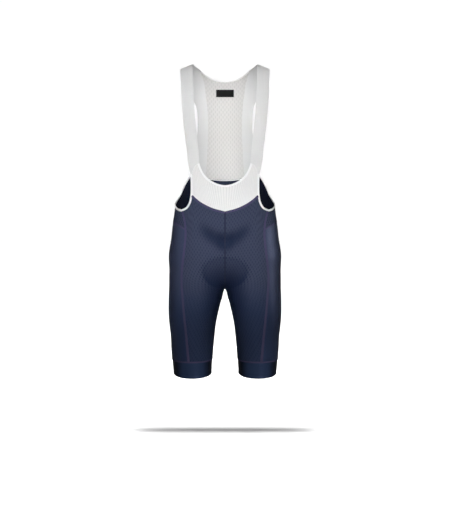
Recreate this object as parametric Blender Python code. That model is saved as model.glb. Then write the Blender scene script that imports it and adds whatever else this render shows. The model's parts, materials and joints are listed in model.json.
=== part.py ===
"""Cycling bib shorts, hollow and in their worn form.

Metres, +Z up, the front facing -Y. The origin lies midway between the shoulders, at the height where the
straps rest on them. Every cut piece is a thin wall on one smooth form: the body the garment is cut for.
"""

import bpy
import numpy as np

# Thicknesses and widths (metres)
CLOTH = 0.0016
ELASTIC = 0.0022
SEAM_GAP = 0.0003
BINDING_WIDTH = 0.006
NECK_BINDING_WIDTH = 0.003
BINDING_THICKNESS = 0.0026
BINDING_UNDER = 0.0005
BINDING_SIDES = 8
BINDING_SQUARE_ACROSS = 0.35
BINDING_SQUARE_THROUGH = 0.6
CUFF_DRAWN_IN = 0.0009
LABEL_HALF_WIDTH = 0.0265
LABEL_HEIGHT = 0.022
LABEL_MIDDLE_Z = -0.0735
LABEL_THICKNESS = 0.001
LABEL_CLEARANCE = 0.0009
PAD_CLEARANCE = 0.0029
PAD_THICKNESS = 0.009
PAD_EDGE_THICKNESS = 0.002

# The form
TORSO_ROUNDNESS = 2.4
LEG_ROUNDNESS = 2.1
SHOULDER_SLOPE = np.radians(22.0)
SHOULDER_PEAK_X = 0.092
SHOULDER_SOFTNESS = 0.050
SHOULDER_ARCH = 0.110
PIVOT_Z = -0.125
PELVIS_START_Z = -0.518
PELVIS_DEPTH = 0.118
PELVIS_ROUNDNESS = 2.3
LEG_TOP_Z = -0.560
LEG_TOP_ROUNDING = 0.090
BLEND = 0.022
TORSO_SCALE = 0.105
LEG_SCALE = 0.078
MIDDLE_SEAM_TURN_Z = -0.540

# Seams and edges at the legs
CUFF_SEAM_Z = -0.847
HEM_Z = -0.8885
HEM_SLOPE = 0.095

# Rows and columns of the wall grids
ROWS_ABOVE_CROTCH = 14
ROWS_INSEAM = 10
ROWS_HIP = 3
ROWS_SIDE = ROWS_ABOVE_CROTCH + ROWS_INSEAM - ROWS_HIP
ROWS_CUFF = 3
ROWS_BIB = 5
ROWS_BACK_MESH = 16
ROWS_STRAP_FREE = 20
COLUMNS_STRAP_SEAM = 3
COLUMNS_SCOOP = 6
COLUMNS_V = COLUMNS_STRAP_SEAM + COLUMNS_SCOOP
COLUMNS_HORN = 3
COLUMNS_HIP = 10
COLUMNS_BACK_EDGE = 4
COLUMNS_BAND = 4
COLUMNS_MESH_HALF = 5
LABEL_ROWS = 3
LABEL_COLUMNS = 6
PAD_ROWS = 22
PAD_COLUMNS = 7
PAD_STEPS_A_COLUMN = 4

# Edges sharper than these show as edges
WALL_SHARP_ANGLE = np.radians(50)
BINDING_SHARP_ANGLE = np.radians(70)

# How finely a curve is followed before its points are spaced out, and how long a panel's net is evened
CURVE_SAMPLES = 160
NET_ROUNDS = 60


def table(names, *rows):
    """A dictionary of columns, from their names and the rows."""
    return dict(zip(names.split(), np.array(rows, float).T))


# Sections of the torso: half width, depth to the front, depth to the back
TORSO = table(
    "z half_width front back",
    (-0.700, 0.1500, 0.100, 0.108),
    (-0.620, 0.1520, 0.102, 0.110),
    (-0.560, 0.1560, 0.103, 0.111),
    (-0.522, 0.1555, 0.103, 0.109),
    (-0.487, 0.1530, 0.102, 0.105),
    (-0.452, 0.1490, 0.101, 0.101),
    (-0.410, 0.1435, 0.099, 0.097),
    (-0.360, 0.1450, 0.102, 0.098),
    (-0.300, 0.1490, 0.106, 0.101),
    (-0.200, 0.1530, 0.106, 0.104),
    (-0.120, 0.1540, 0.102, 0.102),
    (-0.050, 0.1535, 0.097, 0.098),
    (0.050, 0.1530, 0.092, 0.096),
)

# Sections of the leg: centre across, centre front to back, half width, half depth
LEG = table(
    "z centre_x centre_y half_width half_depth",
    (-0.920, 0.0945, -0.005, 0.0535, 0.0600),
    (-0.887, 0.0945, -0.005, 0.0550, 0.0620),
    (-0.853, 0.0952, -0.004, 0.0572, 0.0670),
    (-0.818, 0.0953, -0.003, 0.0596, 0.0725),
    (-0.783, 0.0944, -0.002, 0.0620, 0.0785),
    (-0.748, 0.0944, -0.001, 0.0660, 0.0845),
    (-0.713, 0.0920, 0.000, 0.0706, 0.0900),
    (-0.679, 0.0878, 0.001, 0.0745, 0.0945),
    (-0.640, 0.0835, 0.002, 0.0775, 0.0980),
    (-0.600, 0.0815, 0.003, 0.0790, 0.0990),
    (-0.560, 0.0800, 0.003, 0.0780, 0.0980),
    (-0.520, 0.0790, 0.003, 0.0740, 0.0940),
    (-0.460, 0.0780, 0.003, 0.0680, 0.0860),
)

# The line inside each half of the body from which the lower panels are measured round
AXIS = table(
    "z x",
    (-0.920, 0.0933),
    (-0.750, 0.0930),
    (-0.680, 0.0890),
    (-0.600, 0.0850),
    (-0.500, 0.0780),
    (-0.420, 0.0700),
    (-0.300, 0.0680),
)

# Places on the form: (seen from, first, second), which is x and z from the front or back, y and z from the
# side, and x and degrees past the top of the shoulder when over it.
ARMHOLE_BESIDE_BIB = [
    ("front", 0.0914, -0.3130),
    ("front", 0.0907, -0.3450),
    ("front", 0.0917, -0.3735),
]
ARMHOLE_BELOW_HORN = [
    ("front", 0.0948, -0.3910),
    ("front", 0.1018, -0.4080),
    ("front", 0.1120, -0.4185),
    ("front", 0.1215, -0.4225),
]
ARMHOLE_UNDER_ARM = [
    ("front", 0.1310, -0.4215),
    ("side", -0.0300, -0.4155),
    ("side", 0.0000, -0.4045),
    ("side", 0.0300, -0.3940),
    ("back", 0.1245, -0.3730),
]
ARMHOLE_UP_THE_BACK = [
    ("back", 0.1160, -0.3500),
    ("back", 0.1070, -0.3315),
    ("back", 0.0975, -0.3155),
]
SCOOP = [
    ("front", 0.0770, -0.2857),
    ("front", 0.0717, -0.3012),
    ("front", 0.0614, -0.3200),
    ("front", 0.0428, -0.3373),
    ("front", 0.0235, -0.3486),
    ("front", 0.0000, -0.3535),
]
STRAP_SEAM = [
    ("front", 0.0770, -0.2857),
    ("front", 0.0850, -0.2930),
    ("front", 0.0900, -0.3025),
    ("front", 0.0914, -0.3130),
]
V_SEAM = [
    ("front", 0.0000, -0.4190),
    ("front", 0.0340, -0.4100),
    ("front", 0.0675, -0.3930),
    ("front", 0.0917, -0.3735),
]
FRONT_PRINCESS_SEAM = [
    ("front", 0.1144, -0.4436),
    ("front", 0.1112, -0.4720),
]
FRONT_LEG_SEAM = [
    ("front", 0.1130, -0.5113),
    ("front", 0.1160, -0.5397),
    ("front", 0.1197, -0.5680),
    ("front", 0.1225, -0.6020),
    ("front", 0.1220, -0.6360),
    ("front", 0.1193, -0.6700),
    ("front", 0.1163, -0.7100),
    ("front", 0.1097, -0.7793),
    ("front", 0.1040, CUFF_SEAM_Z),
]
BACK_PRINCESS_SEAM = [
    ("back", 0.1180, -0.4020),
    ("back", 0.1130, -0.4320),
]
BACK_LEG_SEAM = [
    ("back", 0.1120, -0.4800),
    ("back", 0.1180, -0.5400),
    ("back", 0.1230, -0.6000),
    ("back", 0.1220, -0.6600),
    ("back", 0.1170, -0.7200),
    ("back", 0.1100, -0.7800),
    ("back", 0.1045, CUFF_SEAM_Z),
]
HIP_SEAM_MIDDLE = [
    ("front", 0.1300, -0.4650),
    ("side", -0.0100, -0.4560),
    ("side", 0.0450, -0.4430),
]
BACK_SEAM = [
    ("back", 0.0000, -0.3290),
    ("back", 0.0300, -0.3255),
    ("back", 0.0580, -0.3205),
]
BACK_SEAM_UNDER_BAND = [
    ("back", 0.0580, -0.3205),
    ("back", 0.0780, -0.3180),
    ("back", 0.0975, -0.3155),
]
MESH_NECK_EDGE = [
    ("back", 0.0000, -0.0423),
    ("back", 0.0270, -0.0393),
    ("back", 0.0520, -0.0295),
    ("back", 0.0715, -0.0155),
]
MESH_SIDE_SEAM = [
    ("back", 0.0715, -0.0155),
    ("back", 0.0625, -0.0406),
    ("back", 0.0565, -0.0823),
    ("back", 0.0515, -0.1299),
    ("back", 0.0506, -0.1894),
    ("back", 0.0527, -0.2489),
    ("back", 0.0580, -0.3205),
]
STRAP_INNER_EDGE = [
    ("front", 0.0740, -0.2455),
    ("front", 0.0776, -0.2120),
    ("front", 0.0813, -0.1780),
    ("front", 0.0847, -0.1440),
    ("over", 0.0885, -60.0),
    ("over", 0.0905, -30.0),
    ("over", 0.0915, -8.0),
    ("over", 0.0860, 12.0),
]
STRAP_OUTER_EDGE = [
    ("front", 0.1030, -0.2850),
    ("front", 0.1070, -0.2455),
    ("front", 0.1115, -0.2120),
    ("front", 0.1155, -0.1780),
    ("front", 0.1186, -0.1440),
    ("over", 0.1225, -60.0),
    ("over", 0.1250, -30.0),
    ("over", 0.1260, 0.0),
    ("over", 0.1180, 30.0),
    ("over", 0.1010, 60.0),
    ("back", 0.0870, -0.1100),
    ("back", 0.0825, -0.1500),
    ("back", 0.0835, -0.1900),
    ("back", 0.0880, -0.2400),
    ("back", 0.0960, -0.2850),
]

# The pad: share of its length from front to back, half width
PAD_OUTLINE = table(
    "share half_width",
    (0.00, 0.018),
    (0.06, 0.046),
    (0.18, 0.068),
    (0.30, 0.062),
    (0.43, 0.040),
    (0.52, 0.040),
    (0.64, 0.066),
    (0.80, 0.084),
    (0.93, 0.062),
    (1.00, 0.022),
)
PAD_FRONT_Z = -0.543
PAD_BACK_Z = -0.500


def through(xs, ys, x):
    """A smooth curve through the points (xs, ys), read at x: cubics with slopes from the neighbours."""
    slopes = np.gradient(ys, xs, axis=0)
    x = np.clip(x, xs[0], xs[-1])
    i = np.clip(np.searchsorted(xs, x) - 1, 0, len(xs) - 2)
    step = xs[i + 1] - xs[i]
    t = (x - xs[i]) / step
    if np.ndim(ys) > 1:
        step, t = step[..., None], t[..., None]
    start = ys[i] * (1 + 2 * t) * (1 - t) ** 2 + slopes[i] * step * t * (1 - t) ** 2
    end = ys[i + 1] * t**2 * (3 - 2 * t) + slopes[i + 1] * step * t**2 * (t - 1)
    return start + end


def read(rows, column, at, key="z"):
    """A table's column as a smooth curve of its key column."""
    return through(rows[key], rows[column], at)


def unit(v):
    """Each vector at length 1."""
    return v / np.maximum(np.linalg.norm(v, axis=-1, keepdims=True), 1e-12)


def vector(x, y, z):
    """Points or directions from their three parts, any of which can be one number."""
    return np.stack(np.broadcast_arrays(x, y, z), axis=-1).astype(float)


def mirrored(points):
    """The same on the other side of the body."""
    return points * np.array([-1.0, 1.0, 1.0])


def joined(*curves):
    """Curves end to end, with each shared point once."""
    return np.concatenate([curves[0]] + [c[1:] for c in curves[1:]])


def whole(half):
    """A curve that starts in the middle, with its mirror image in front of it."""
    return joined(mirrored(half)[::-1], half)


# ---------------------------------------------------------------- the form


def shoulder_line(x):
    """Height of the shoulder above x, sloping down outwards and rounded over the neck."""
    bent = np.hypot(x, SHOULDER_SOFTNESS)
    return np.tan(SHOULDER_SLOPE) * (np.hypot(SHOULDER_PEAK_X, SHOULDER_SOFTNESS) - bent)


def torso_measure(p):
    """1 on the torso, less inside: superellipses, arched over the shoulders and rounded below."""
    x, y, z = np.abs(p[..., 0]), p[..., 1], p[..., 2]
    across = x / read(TORSO, "half_width", z)
    depth = np.where(y < 0, read(TORSO, "front", z), read(TORSO, "back", z))
    flat = (across**TORSO_ROUNDNESS + np.abs(y / depth) ** TORSO_ROUNDNESS) ** (1 / TORSO_ROUNDNESS)
    below = np.clip((PELVIS_START_Z - z) / PELVIS_DEPTH, 0, None)
    flat = (flat**PELVIS_ROUNDNESS + below**PELVIS_ROUNDNESS) ** (1 / PELVIS_ROUNDNESS)
    arch = np.clip(1 - (shoulder_line(x) - z) / SHOULDER_ARCH, 0, None)
    side = np.clip(1 - across**TORSO_ROUNDNESS, 1e-4, None) ** (1 / TORSO_ROUNDNESS)
    arched = np.hypot(y / (depth * side), arch)
    return np.where(arch > 0, arched, flat)


def leg_measure(p):
    """1 on the leg, less inside."""
    x, y, z = np.abs(p[..., 0]), p[..., 1], p[..., 2]
    across = np.abs(x - read(LEG, "centre_x", z)) / read(LEG, "half_width", z)
    deep = np.abs(y - read(LEG, "centre_y", z)) / read(LEG, "half_depth", z)
    above = np.clip((z - LEG_TOP_Z) / LEG_TOP_ROUNDING, 0, None)
    powers = across**LEG_ROUNDNESS + deep**LEG_ROUNDNESS + above**LEG_ROUNDNESS
    return powers ** (1 / LEG_ROUNDNESS)


def form(p):
    """Roughly the distance outside the body: torso and legs joined with a soft blend."""
    torso = (np.clip(torso_measure(p), 0, 4) - 1) * TORSO_SCALE
    leg = (np.clip(leg_measure(p), 0, 4) - 1) * LEG_SCALE
    near = np.clip(1 - np.abs(torso - leg) / BLEND, 0, None)
    return np.minimum(torso, leg) - near**2 * BLEND / 4


def slope_of(p, reach=0.0004):
    """The direction in which the form falls away fastest, by how much."""
    steps = np.eye(3) * reach
    return np.stack([(form(p + s) - form(p - s)) / (2 * reach) for s in steps], axis=-1)


def outward(p):
    """Square to the form, away from the body."""
    return unit(slope_of(p))


def settle(p, steps=6):
    """Moves points that are close to the form on to it."""
    for _ in range(steps):
        slope = slope_of(p)
        p = p - slope * (form(p) / np.maximum((slope**2).sum(-1), 1e-9))[..., None]
    return p


def crossing(inside, outside):
    """Where the line from each point inside to one outside crosses the form, by halving."""
    for _ in range(24):
        middle = (inside + outside) / 2
        is_out = form(middle)[..., None] > 0
        inside = np.where(is_out, inside, middle)
        outside = np.where(is_out, middle, outside)
    return outside


def cast(start, direction, step=0.006, count=45):
    """Where each ray from inside first leaves the form."""
    start, direction = np.broadcast_arrays(start, direction)
    reach = np.arange(1, count + 1) * step
    rays = start[..., None, :] + direction[..., None, :] * reach[:, None]
    is_out = form(rays) > 0
    if not is_out.any(axis=-1).all():
        raise ValueError("a ray never leaves the form")
    first = reach[np.argmax(is_out, axis=-1)][..., None]
    return crossing(start + direction * (first - step), start + direction * first)


# ---------------------------------------------------------------- curves and charts


def place(row):
    """The point of the form that a row of a seam's list names."""
    seen_from, first, second = row
    if seen_from == "side":
        return cast(vector(read(AXIS, "x", second), first, second), vector(1, 0, 0))
    if seen_from == "over":
        turn = np.radians(second)
        return cast(vector(first, 0, PIVOT_Z), vector(0, np.sin(turn), np.cos(turn)))
    towards = -1 if seen_from == "front" else 1
    return cast(vector(first, 0, second), vector(0, towards, 0))


def places(rows):
    """The points that a seam's list names."""
    return np.array([place(row) for row in rows])


def lengths(points):
    """How far along its curve each point is."""
    steps = np.linalg.norm(np.diff(points, axis=0), axis=-1)
    return np.concatenate([[0], np.cumsum(steps)])


def resample(dense, count):
    """count + 1 points at even steps along a dense curve, on the form."""
    run = lengths(dense)
    stops = np.linspace(0, run[-1], count + 1)
    return settle(np.stack([np.interp(stops, run, dense[:, k]) for k in range(3)], axis=-1))


def split_curve(groups, counts):
    """A smooth curve through several groups of points, cut at each group's last point: a list of curves."""
    points = np.concatenate(groups)
    run = lengths(points)
    ends = run[np.cumsum([len(group) for group in groups]) - 1]
    starts = np.concatenate([[0], ends[:-1]])
    pieces = []
    for start, end, count in zip(starts, ends, counts):
        dense = through(run, points, np.linspace(start, end, CURVE_SAMPLES))
        pieces.append(resample(settle(dense), count))
    return pieces


def curve(points, count):
    """count + 1 points at even steps along a smooth curve through the points, on the form."""
    return split_curve([points], [count])[0]


def round_chart(points, behind=False):
    """(angle, z) of points on one half of the body: 0 at the inseam and a quarter turn at the front."""
    away = points[..., 0] - read(AXIS, "x", points[..., 2])
    angle = np.arctan2(-points[..., 1], -away)
    angle = np.where(angle < -1e-6, angle + 2 * np.pi, angle)
    if behind:
        angle = np.where(angle < np.pi / 2, angle + 2 * np.pi, angle)
    return np.stack([angle, points[..., 2]], axis=-1)


def from_round_chart(chart):
    """The points of the form at these angles and heights."""
    angle, z = chart[..., 0], chart[..., 1]
    start = vector(read(AXIS, "x", z), 0, z)
    return cast(start, vector(-np.cos(angle), -np.sin(angle), 0))


def saddle_chart(points):
    """(x, turn) of points on the upper body: turn is the angle over the shoulder, and past level it goes on
    with the drop below the pivot."""
    y, z = points[..., 1], points[..., 2]
    turn = np.arctan2(y, np.maximum(z - PIVOT_Z, 0))
    drop = np.maximum(PIVOT_Z - z, 0) / abs(PIVOT_Z)
    return np.stack([points[..., 0], turn + np.sign(y) * drop], axis=-1)


def from_saddle_chart(chart):
    """The points of the form at these x and turns."""
    x, turn = chart[..., 0], chart[..., 1]
    level = np.clip(turn, -np.pi / 2, np.pi / 2)
    drop = np.abs(turn - level) * abs(PIVOT_Z)
    return cast(vector(x, 0, PIVOT_Z - drop), vector(0, np.sin(level), np.cos(level)))


def patch(bottom, top, left, right):
    """A grid between four edges, [row, column]: each inner point blends the edges around it."""
    u = np.linspace(0, 1, len(bottom))[None, :, None]
    v = np.linspace(0, 1, len(left))[:, None, None]
    ruled = (1 - v) * bottom[None] + v * top[None] + (1 - u) * left[:, None] + u * right[:, None]
    low = (1 - u) * bottom[0] + u * bottom[-1]
    high = (1 - u) * top[0] + u * top[-1]
    return ruled - (1 - v) * low - v * high


def spread(bottom, top, left, right):
    """A grid on the form between four edges given as points: evened out like a net pulled over the form."""
    grid = settle(patch(bottom, top, left, right))
    for _ in range(NET_ROUNDS):
        around = grid[:-2, 1:-1] + grid[2:, 1:-1] + grid[1:-1, :-2] + grid[1:-1, 2:]
        grid[1:-1, 1:-1] = settle(around / 4, 2)
    return grid


# ---------------------------------------------------------------- walls


def drawn_in(grid, normal, gap, ring=False):
    """The grid with its border moved inwards by the gap, square to each edge and mitred at the corners."""
    rows, columns = grid.shape[:2]
    row, column = np.arange(rows), np.arange(columns)
    if ring:
        loops = [(np.zeros(columns, int), column), (np.full(columns, rows - 1), column[::-1])]
    else:
        i = np.concatenate([column[:-1] * 0, row[:-1], column[:0:-1] * 0 + rows - 1, row[:0:-1]])
        j = np.concatenate([column[:-1], row[:-1] * 0 + columns - 1, column[:0:-1], row[:0:-1] * 0])
        loops = [(i, j)]
    moved = grid.copy()
    for i, j in loops:
        edge, up = grid[i, j], normal[i, j]
        ahead = unit(np.roll(edge, -1, axis=0) - edge)
        square = unit(np.cross(up, ahead))
        before = np.roll(square, 1, axis=0)
        bend = np.maximum(1 + (square * before).sum(-1, keepdims=True), 0.2)
        moved[i, j] = edge + (square + before) * gap / bend
    return moved


def wall(name, grid, material, inner=0.0, outer=CLOTH, ring=False, gap=SEAM_GAP / 2):
    """A closed wall over the grid, from inner to outer above the form, its border drawn in by the gap."""
    normal = outward(grid)
    turned = np.cross(grid[0, 1] - grid[0, 0], grid[1, 0] - grid[0, 0]) @ normal[0, 0] < 0
    if turned:
        grid, normal = grid[:, ::-1], normal[:, ::-1]
    if gap:
        grid = drawn_in(grid, normal, gap, ring)
    skin = np.concatenate([grid + normal * outer, grid + normal * inner])
    return closed(name, skin, ring, material)


def closed(name, skin, ring, material):
    """A solid from a stacked pair of grids: the outer one, whose faces turn out, then the inner one."""
    double, columns = skin.shape[:2]
    rows = double // 2
    number = np.arange(double * columns).reshape(double, columns)
    if ring:
        number = np.concatenate([number, number[:, :1]], axis=1)
    outer, inner = number[:rows], number[rows:]

    def quads(a, b, c, d):
        return np.stack([a, b, c, d], axis=-1).reshape(-1, 4)

    faces = [
        quads(outer[:-1, :-1], outer[:-1, 1:], outer[1:, 1:], outer[1:, :-1]),
        quads(inner[:-1, :-1], inner[1:, :-1], inner[1:, 1:], inner[:-1, 1:]),
        quads(outer[0, :-1], inner[0, :-1], inner[0, 1:], outer[0, 1:]),
        quads(outer[-1, 1:], inner[-1, 1:], inner[-1, :-1], outer[-1, :-1]),
    ]
    if not ring:
        faces.append(quads(outer[1:, 0], inner[1:, 0], inner[:-1, 0], outer[:-1, 0]))
        faces.append(quads(outer[:-1, -1], inner[:-1, -1], inner[1:, -1], outer[1:, -1]))
    add_object(name, skin, np.concatenate(faces).tolist(), material, WALL_SHARP_ANGLE)


def add_object(name, points, faces, material, sharp_angle):
    """One named object, smooth but for its edges sharper than the angle."""
    mesh = bpy.data.meshes.new(name)
    mesh.from_pydata(points.reshape(-1, 3).tolist(), [], faces)
    mesh.materials.append(material)
    mesh.shade_smooth()
    mesh.set_sharp_from_angle(angle=sharp_angle)
    made = bpy.data.objects.new(name, mesh)
    bpy.context.collection.objects.link(made)


def edge_frame(edge, away_from):
    """Directions along an edge, out of the cloth and away from the panel, at each of the edge's points."""
    along = unit(np.gradient(edge, axis=0))
    up = outward(edge)
    away = unit(np.cross(along, up))
    if (away * (edge - away_from)).sum() < 0:
        away = -away
    return along, up, away


def beyond(edge, away_from, width):
    """The edge's first and last point, moved past a binding of this width."""
    _, _, away = edge_frame(edge, away_from)
    ends = edge[[0, -1]] + away[[0, -1]] * (width + SEAM_GAP)
    return settle(ends)


def binding(name, edge, away_from, width, material):
    """A folded strip along an edge: a flat oval section from half a seam gap to the width beyond it."""
    along, up, away = edge_frame(edge, away_from)
    edge = edge.copy()
    edge[0] += along[0] * SEAM_GAP / 2
    edge[-1] -= along[-1] * SEAM_GAP / 2
    turn = (np.arange(BINDING_SIDES) + 0.5) / BINDING_SIDES * 2 * np.pi
    across, through_cloth = np.cos(turn), np.sin(turn)
    across = np.sign(across) * np.abs(across) ** BINDING_SQUARE_ACROSS
    through_cloth = np.sign(through_cloth) * np.abs(through_cloth) ** BINDING_SQUARE_THROUGH
    flat = (across + 1) * width / 2 + SEAM_GAP / 2
    high = (through_cloth + 1) * BINDING_THICKNESS / 2 - BINDING_UNDER
    skin = edge[:, None] + away[:, None] * flat[:, None] + up[:, None] * high[:, None]
    rows, sides = skin.shape[:2]
    number = np.arange(rows * sides).reshape(rows, sides)
    after = np.roll(number, -1, axis=1)
    around = np.stack([number[:-1], after[:-1], after[1:], number[1:]], axis=-1)
    faces = around.reshape(-1, 4).tolist() + [number[0, ::-1].tolist(), number[-1].tolist()]
    first = skin[0, 0]
    inside_out = np.cross(skin[0, 1] - first, skin[1, 0] - first) @ (first - skin[0].mean(0)) < 0
    if inside_out:
        faces = [face[::-1] for face in faces]
    add_object(name, skin, faces, material, BINDING_SHARP_ANGLE)


def both_sides(name, grid, material, **options):
    """The wall over the grid, and its mirror image."""
    wall(name + "_right", grid, material, **options)
    wall(name + "_left", mirrored(grid), material, **options)


# ---------------------------------------------------------------- seams


def middle_seam(start_z, towards, count):
    """From start_z down the middle of the front (towards -1) or back (1) to the fork of the legs."""
    heights = np.linspace(start_z, MIDDLE_SEAM_TURN_Z, CURVE_SAMPLES)
    straight = cast(vector(0, 0, heights), vector(0, towards, 0))
    turn = np.linspace(0, np.pi / 2, CURVE_SAMPLES)
    turning = cast(vector(0, 0, MIDDLE_SEAM_TURN_Z), vector(0, np.cos(turn) * towards, -np.sin(turn)))
    return resample(joined(straight, turning), count)


def inseam(fork, count):
    """Down the inside of the leg, from the fork to the cuff."""
    heights = np.linspace(fork[2], CUFF_SEAM_Z, CURVE_SAMPLES)[1:]
    inside = crossing(vector(read(AXIS, "x", heights), 0, heights), vector(0, 0, heights))
    return resample(np.concatenate([fork[None], inside]), count)


def make_seams():
    """Every seam and edge of one half, each with as many points as the grids on its two sides."""
    beside_bib, horn, under_arm, up_back = split_curve(
        [
            places(ARMHOLE_BESIDE_BIB),
            places(ARMHOLE_BELOW_HORN),
            places(ARMHOLE_UNDER_ARM),
            places(ARMHOLE_UP_THE_BACK),
        ],
        [ROWS_BIB, COLUMNS_HORN, COLUMNS_HIP, COLUMNS_BACK_EDGE],
    )
    front_princess, front_leg = split_curve(
        [np.concatenate([horn[-1:], places(FRONT_PRINCESS_SEAM)]), places(FRONT_LEG_SEAM)],
        [ROWS_HIP, ROWS_SIDE],
    )
    back_princess, back_leg = split_curve(
        [np.concatenate([under_arm[-1:], places(BACK_PRINCESS_SEAM)]), places(BACK_LEG_SEAM)],
        [ROWS_HIP, ROWS_SIDE],
    )
    hip = np.concatenate([front_princess[-1:], places(HIP_SEAM_MIDDLE), back_princess[-1:]])
    front_middle = middle_seam(V_SEAM[0][2], -1, ROWS_ABOVE_CROTCH)
    back_middle = middle_seam(BACK_SEAM[0][2], 1, ROWS_ABOVE_CROTCH)
    back_middle[-1] = front_middle[-1]
    return {
        "beside_bib": beside_bib,
        "horn": horn,
        "under_arm": under_arm,
        "up_back": up_back,
        "front_princess": front_princess,
        "front_leg": front_leg,
        "back_princess": back_princess,
        "back_leg": back_leg,
        "hip": curve(hip, COLUMNS_HIP),
        "front_middle": front_middle,
        "back_middle": back_middle,
        "inseam": inseam(front_middle[-1], ROWS_INSEAM),
        "v": curve(places(V_SEAM), COLUMNS_V),
        "scoop": curve(places(SCOOP), COLUMNS_SCOOP),
        "strap": curve(places(STRAP_SEAM), COLUMNS_STRAP_SEAM),
        "back": curve(places(BACK_SEAM), COLUMNS_MESH_HALF),
        "back_band": curve(places(BACK_SEAM_UNDER_BAND), COLUMNS_BAND),
        "neck": curve(places(MESH_NECK_EDGE), COLUMNS_MESH_HALF),
        "mesh_side": curve(places(MESH_SIDE_SEAM), ROWS_BACK_MESH),
    }


def level_seam(start, end, count, behind=False):
    """The seam above the cuff, from one panel's corner to the other."""
    first, last = round_chart(np.stack([start, end]), behind)
    share = np.linspace(0, 1, count + 1)[:, None]
    return from_round_chart(first * (1 - share) + last * share)


# ---------------------------------------------------------------- panels


def lower_panels(seams, colours):
    """The panels of the shorts. It returns the seam above the cuff, right round, in the round chart."""
    front_inside = joined(seams["front_middle"], seams["inseam"])[::-1]
    back_inside = joined(seams["back_middle"], seams["inseam"])[::-1]
    front_side = joined(seams["front_princess"], seams["front_leg"])[::-1]
    back_side = joined(seams["back_princess"], seams["back_leg"])[::-1]
    front_top = joined(seams["v"], seams["horn"])
    back_top = joined(seams["up_back"], seams["back_band"][::-1], seams["back"][::-1])
    front_cuff = level_seam(front_inside[0], front_side[0], len(front_top) - 1)
    side_cuff = level_seam(front_side[0], back_side[0], COLUMNS_HIP)
    back_cuff = level_seam(back_side[0], back_inside[0], len(back_top) - 1, behind=True)

    front = spread(front_cuff, front_top, front_inside, front_side)
    both_sides("front_panel", front, colours["dimpled_knit"])

    back = spread(back_cuff, back_top, back_side, back_inside)
    both_sides("back_panel", back, colours["dimpled_knit"])

    edges = side_cuff, seams["hip"], seams["front_leg"][::-1], seams["back_leg"][::-1]
    side = from_round_chart(patch(*map(round_chart, edges)))
    both_sides("side_panel", side, colours["smooth_knit"])

    edges = seams["hip"], seams["under_arm"], seams["front_princess"][::-1], seams["back_princess"][::-1]
    hip = from_round_chart(patch(*map(round_chart, edges)))
    both_sides("hip_panel", hip, colours["dimpled_knit"])

    ahead = round_chart(joined(front_cuff, side_cuff))
    behind = round_chart(back_cuff, behind=True)
    return np.concatenate([ahead, behind[1:-1]])


def cuffs(ring, colours):
    """A band round each leg from the level seam to the hem, which dips to the front."""
    share = np.linspace(1, 0, ROWS_CUFF + 1)[:, None]
    seam = from_round_chart(ring)
    hem_z = HEM_Z + HEM_SLOPE * seam[:, 1]
    heights = ring[:, 1] * share + hem_z * (1 - share)
    angles = np.broadcast_to(ring[:, 0], heights.shape)
    grid = from_round_chart(np.stack([angles, heights], axis=-1))
    both_sides(
        "cuff", grid, colours["gripper"], inner=-CUFF_DRAWN_IN, outer=CLOTH - CUFF_DRAWN_IN, ring=True
    )


def bib(seams, colours):
    """The front mesh between the scoop, the straps, the armholes and the V seam."""
    half_top = joined(seams["strap"][::-1], seams["scoop"])
    top = joined(mirrored(half_top), half_top[::-1])
    side = seams["beside_bib"][::-1]
    edges = whole(seams["v"]), top, mirrored(side), side
    grid = from_saddle_chart(patch(*map(saddle_chart, edges)))
    wall("front_bib", grid, colours["ribbed_mesh"])


def back_mesh(seams, colours):
    """The back mesh between the two bands, from the neck to the back seam."""
    side = seams["mesh_side"][::-1]
    edges = whole(seams["back"]), whole(seams["neck"]), mirrored(side), side
    grid = from_saddle_chart(patch(*map(saddle_chart, edges)))
    wall("back_mesh", grid, colours["open_mesh"])


def bindings(seams, colours):
    """The bindings. It returns the points where the straps' free edges start: past the bindings' ends."""
    armhole = joined(seams["beside_bib"], seams["horn"], seams["under_arm"], seams["up_back"])
    scoop = joined(seams["scoop"], mirrored(seams["scoop"])[::-1])
    neck = whole(seams["neck"])
    below_armhole = vector(0, -0.10, -0.37)
    below = vector(0, -0.10, -0.60)
    tape = colours["binding"]
    binding("armhole_binding_right", armhole, below_armhole, BINDING_WIDTH, tape)
    binding("armhole_binding_left", mirrored(armhole), below_armhole, BINDING_WIDTH, tape)
    binding("scoop_binding", scoop, below, BINDING_WIDTH, tape)
    binding("neck_binding", neck, below, NECK_BINDING_WIDTH, tape)
    armhole_start, armhole_end = beyond(armhole, below_armhole, BINDING_WIDTH)
    scoop_end, _ = beyond(scoop, below, BINDING_WIDTH)
    _, neck_end = beyond(neck, below, NECK_BINDING_WIDTH)
    return armhole_start, armhole_end, scoop_end, neck_end


def straps(seams, edge_points, colours):
    """Each strap goes on over the shoulder and down the back beside the mesh."""
    armhole_start, armhole_end, scoop_end, neck_end = edge_points
    front = np.concatenate([scoop_end[None], seams["strap"], armhole_start[None]])
    back = np.concatenate([seams["back_band"], armhole_end[None]])
    inner_points = np.concatenate([scoop_end[None], places(STRAP_INNER_EDGE), neck_end[None]])
    outer_points = np.concatenate([armhole_start[None], places(STRAP_OUTER_EDGE), armhole_end[None]])
    inner = np.concatenate([curve(inner_points, ROWS_STRAP_FREE), seams["mesh_side"]])
    outer = curve(outer_points, len(inner) - 1)
    grid = from_saddle_chart(patch(*map(saddle_chart, (front, back, inner, outer))))
    both_sides("strap", grid, colours["elastic"], outer=ELASTIC)


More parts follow.
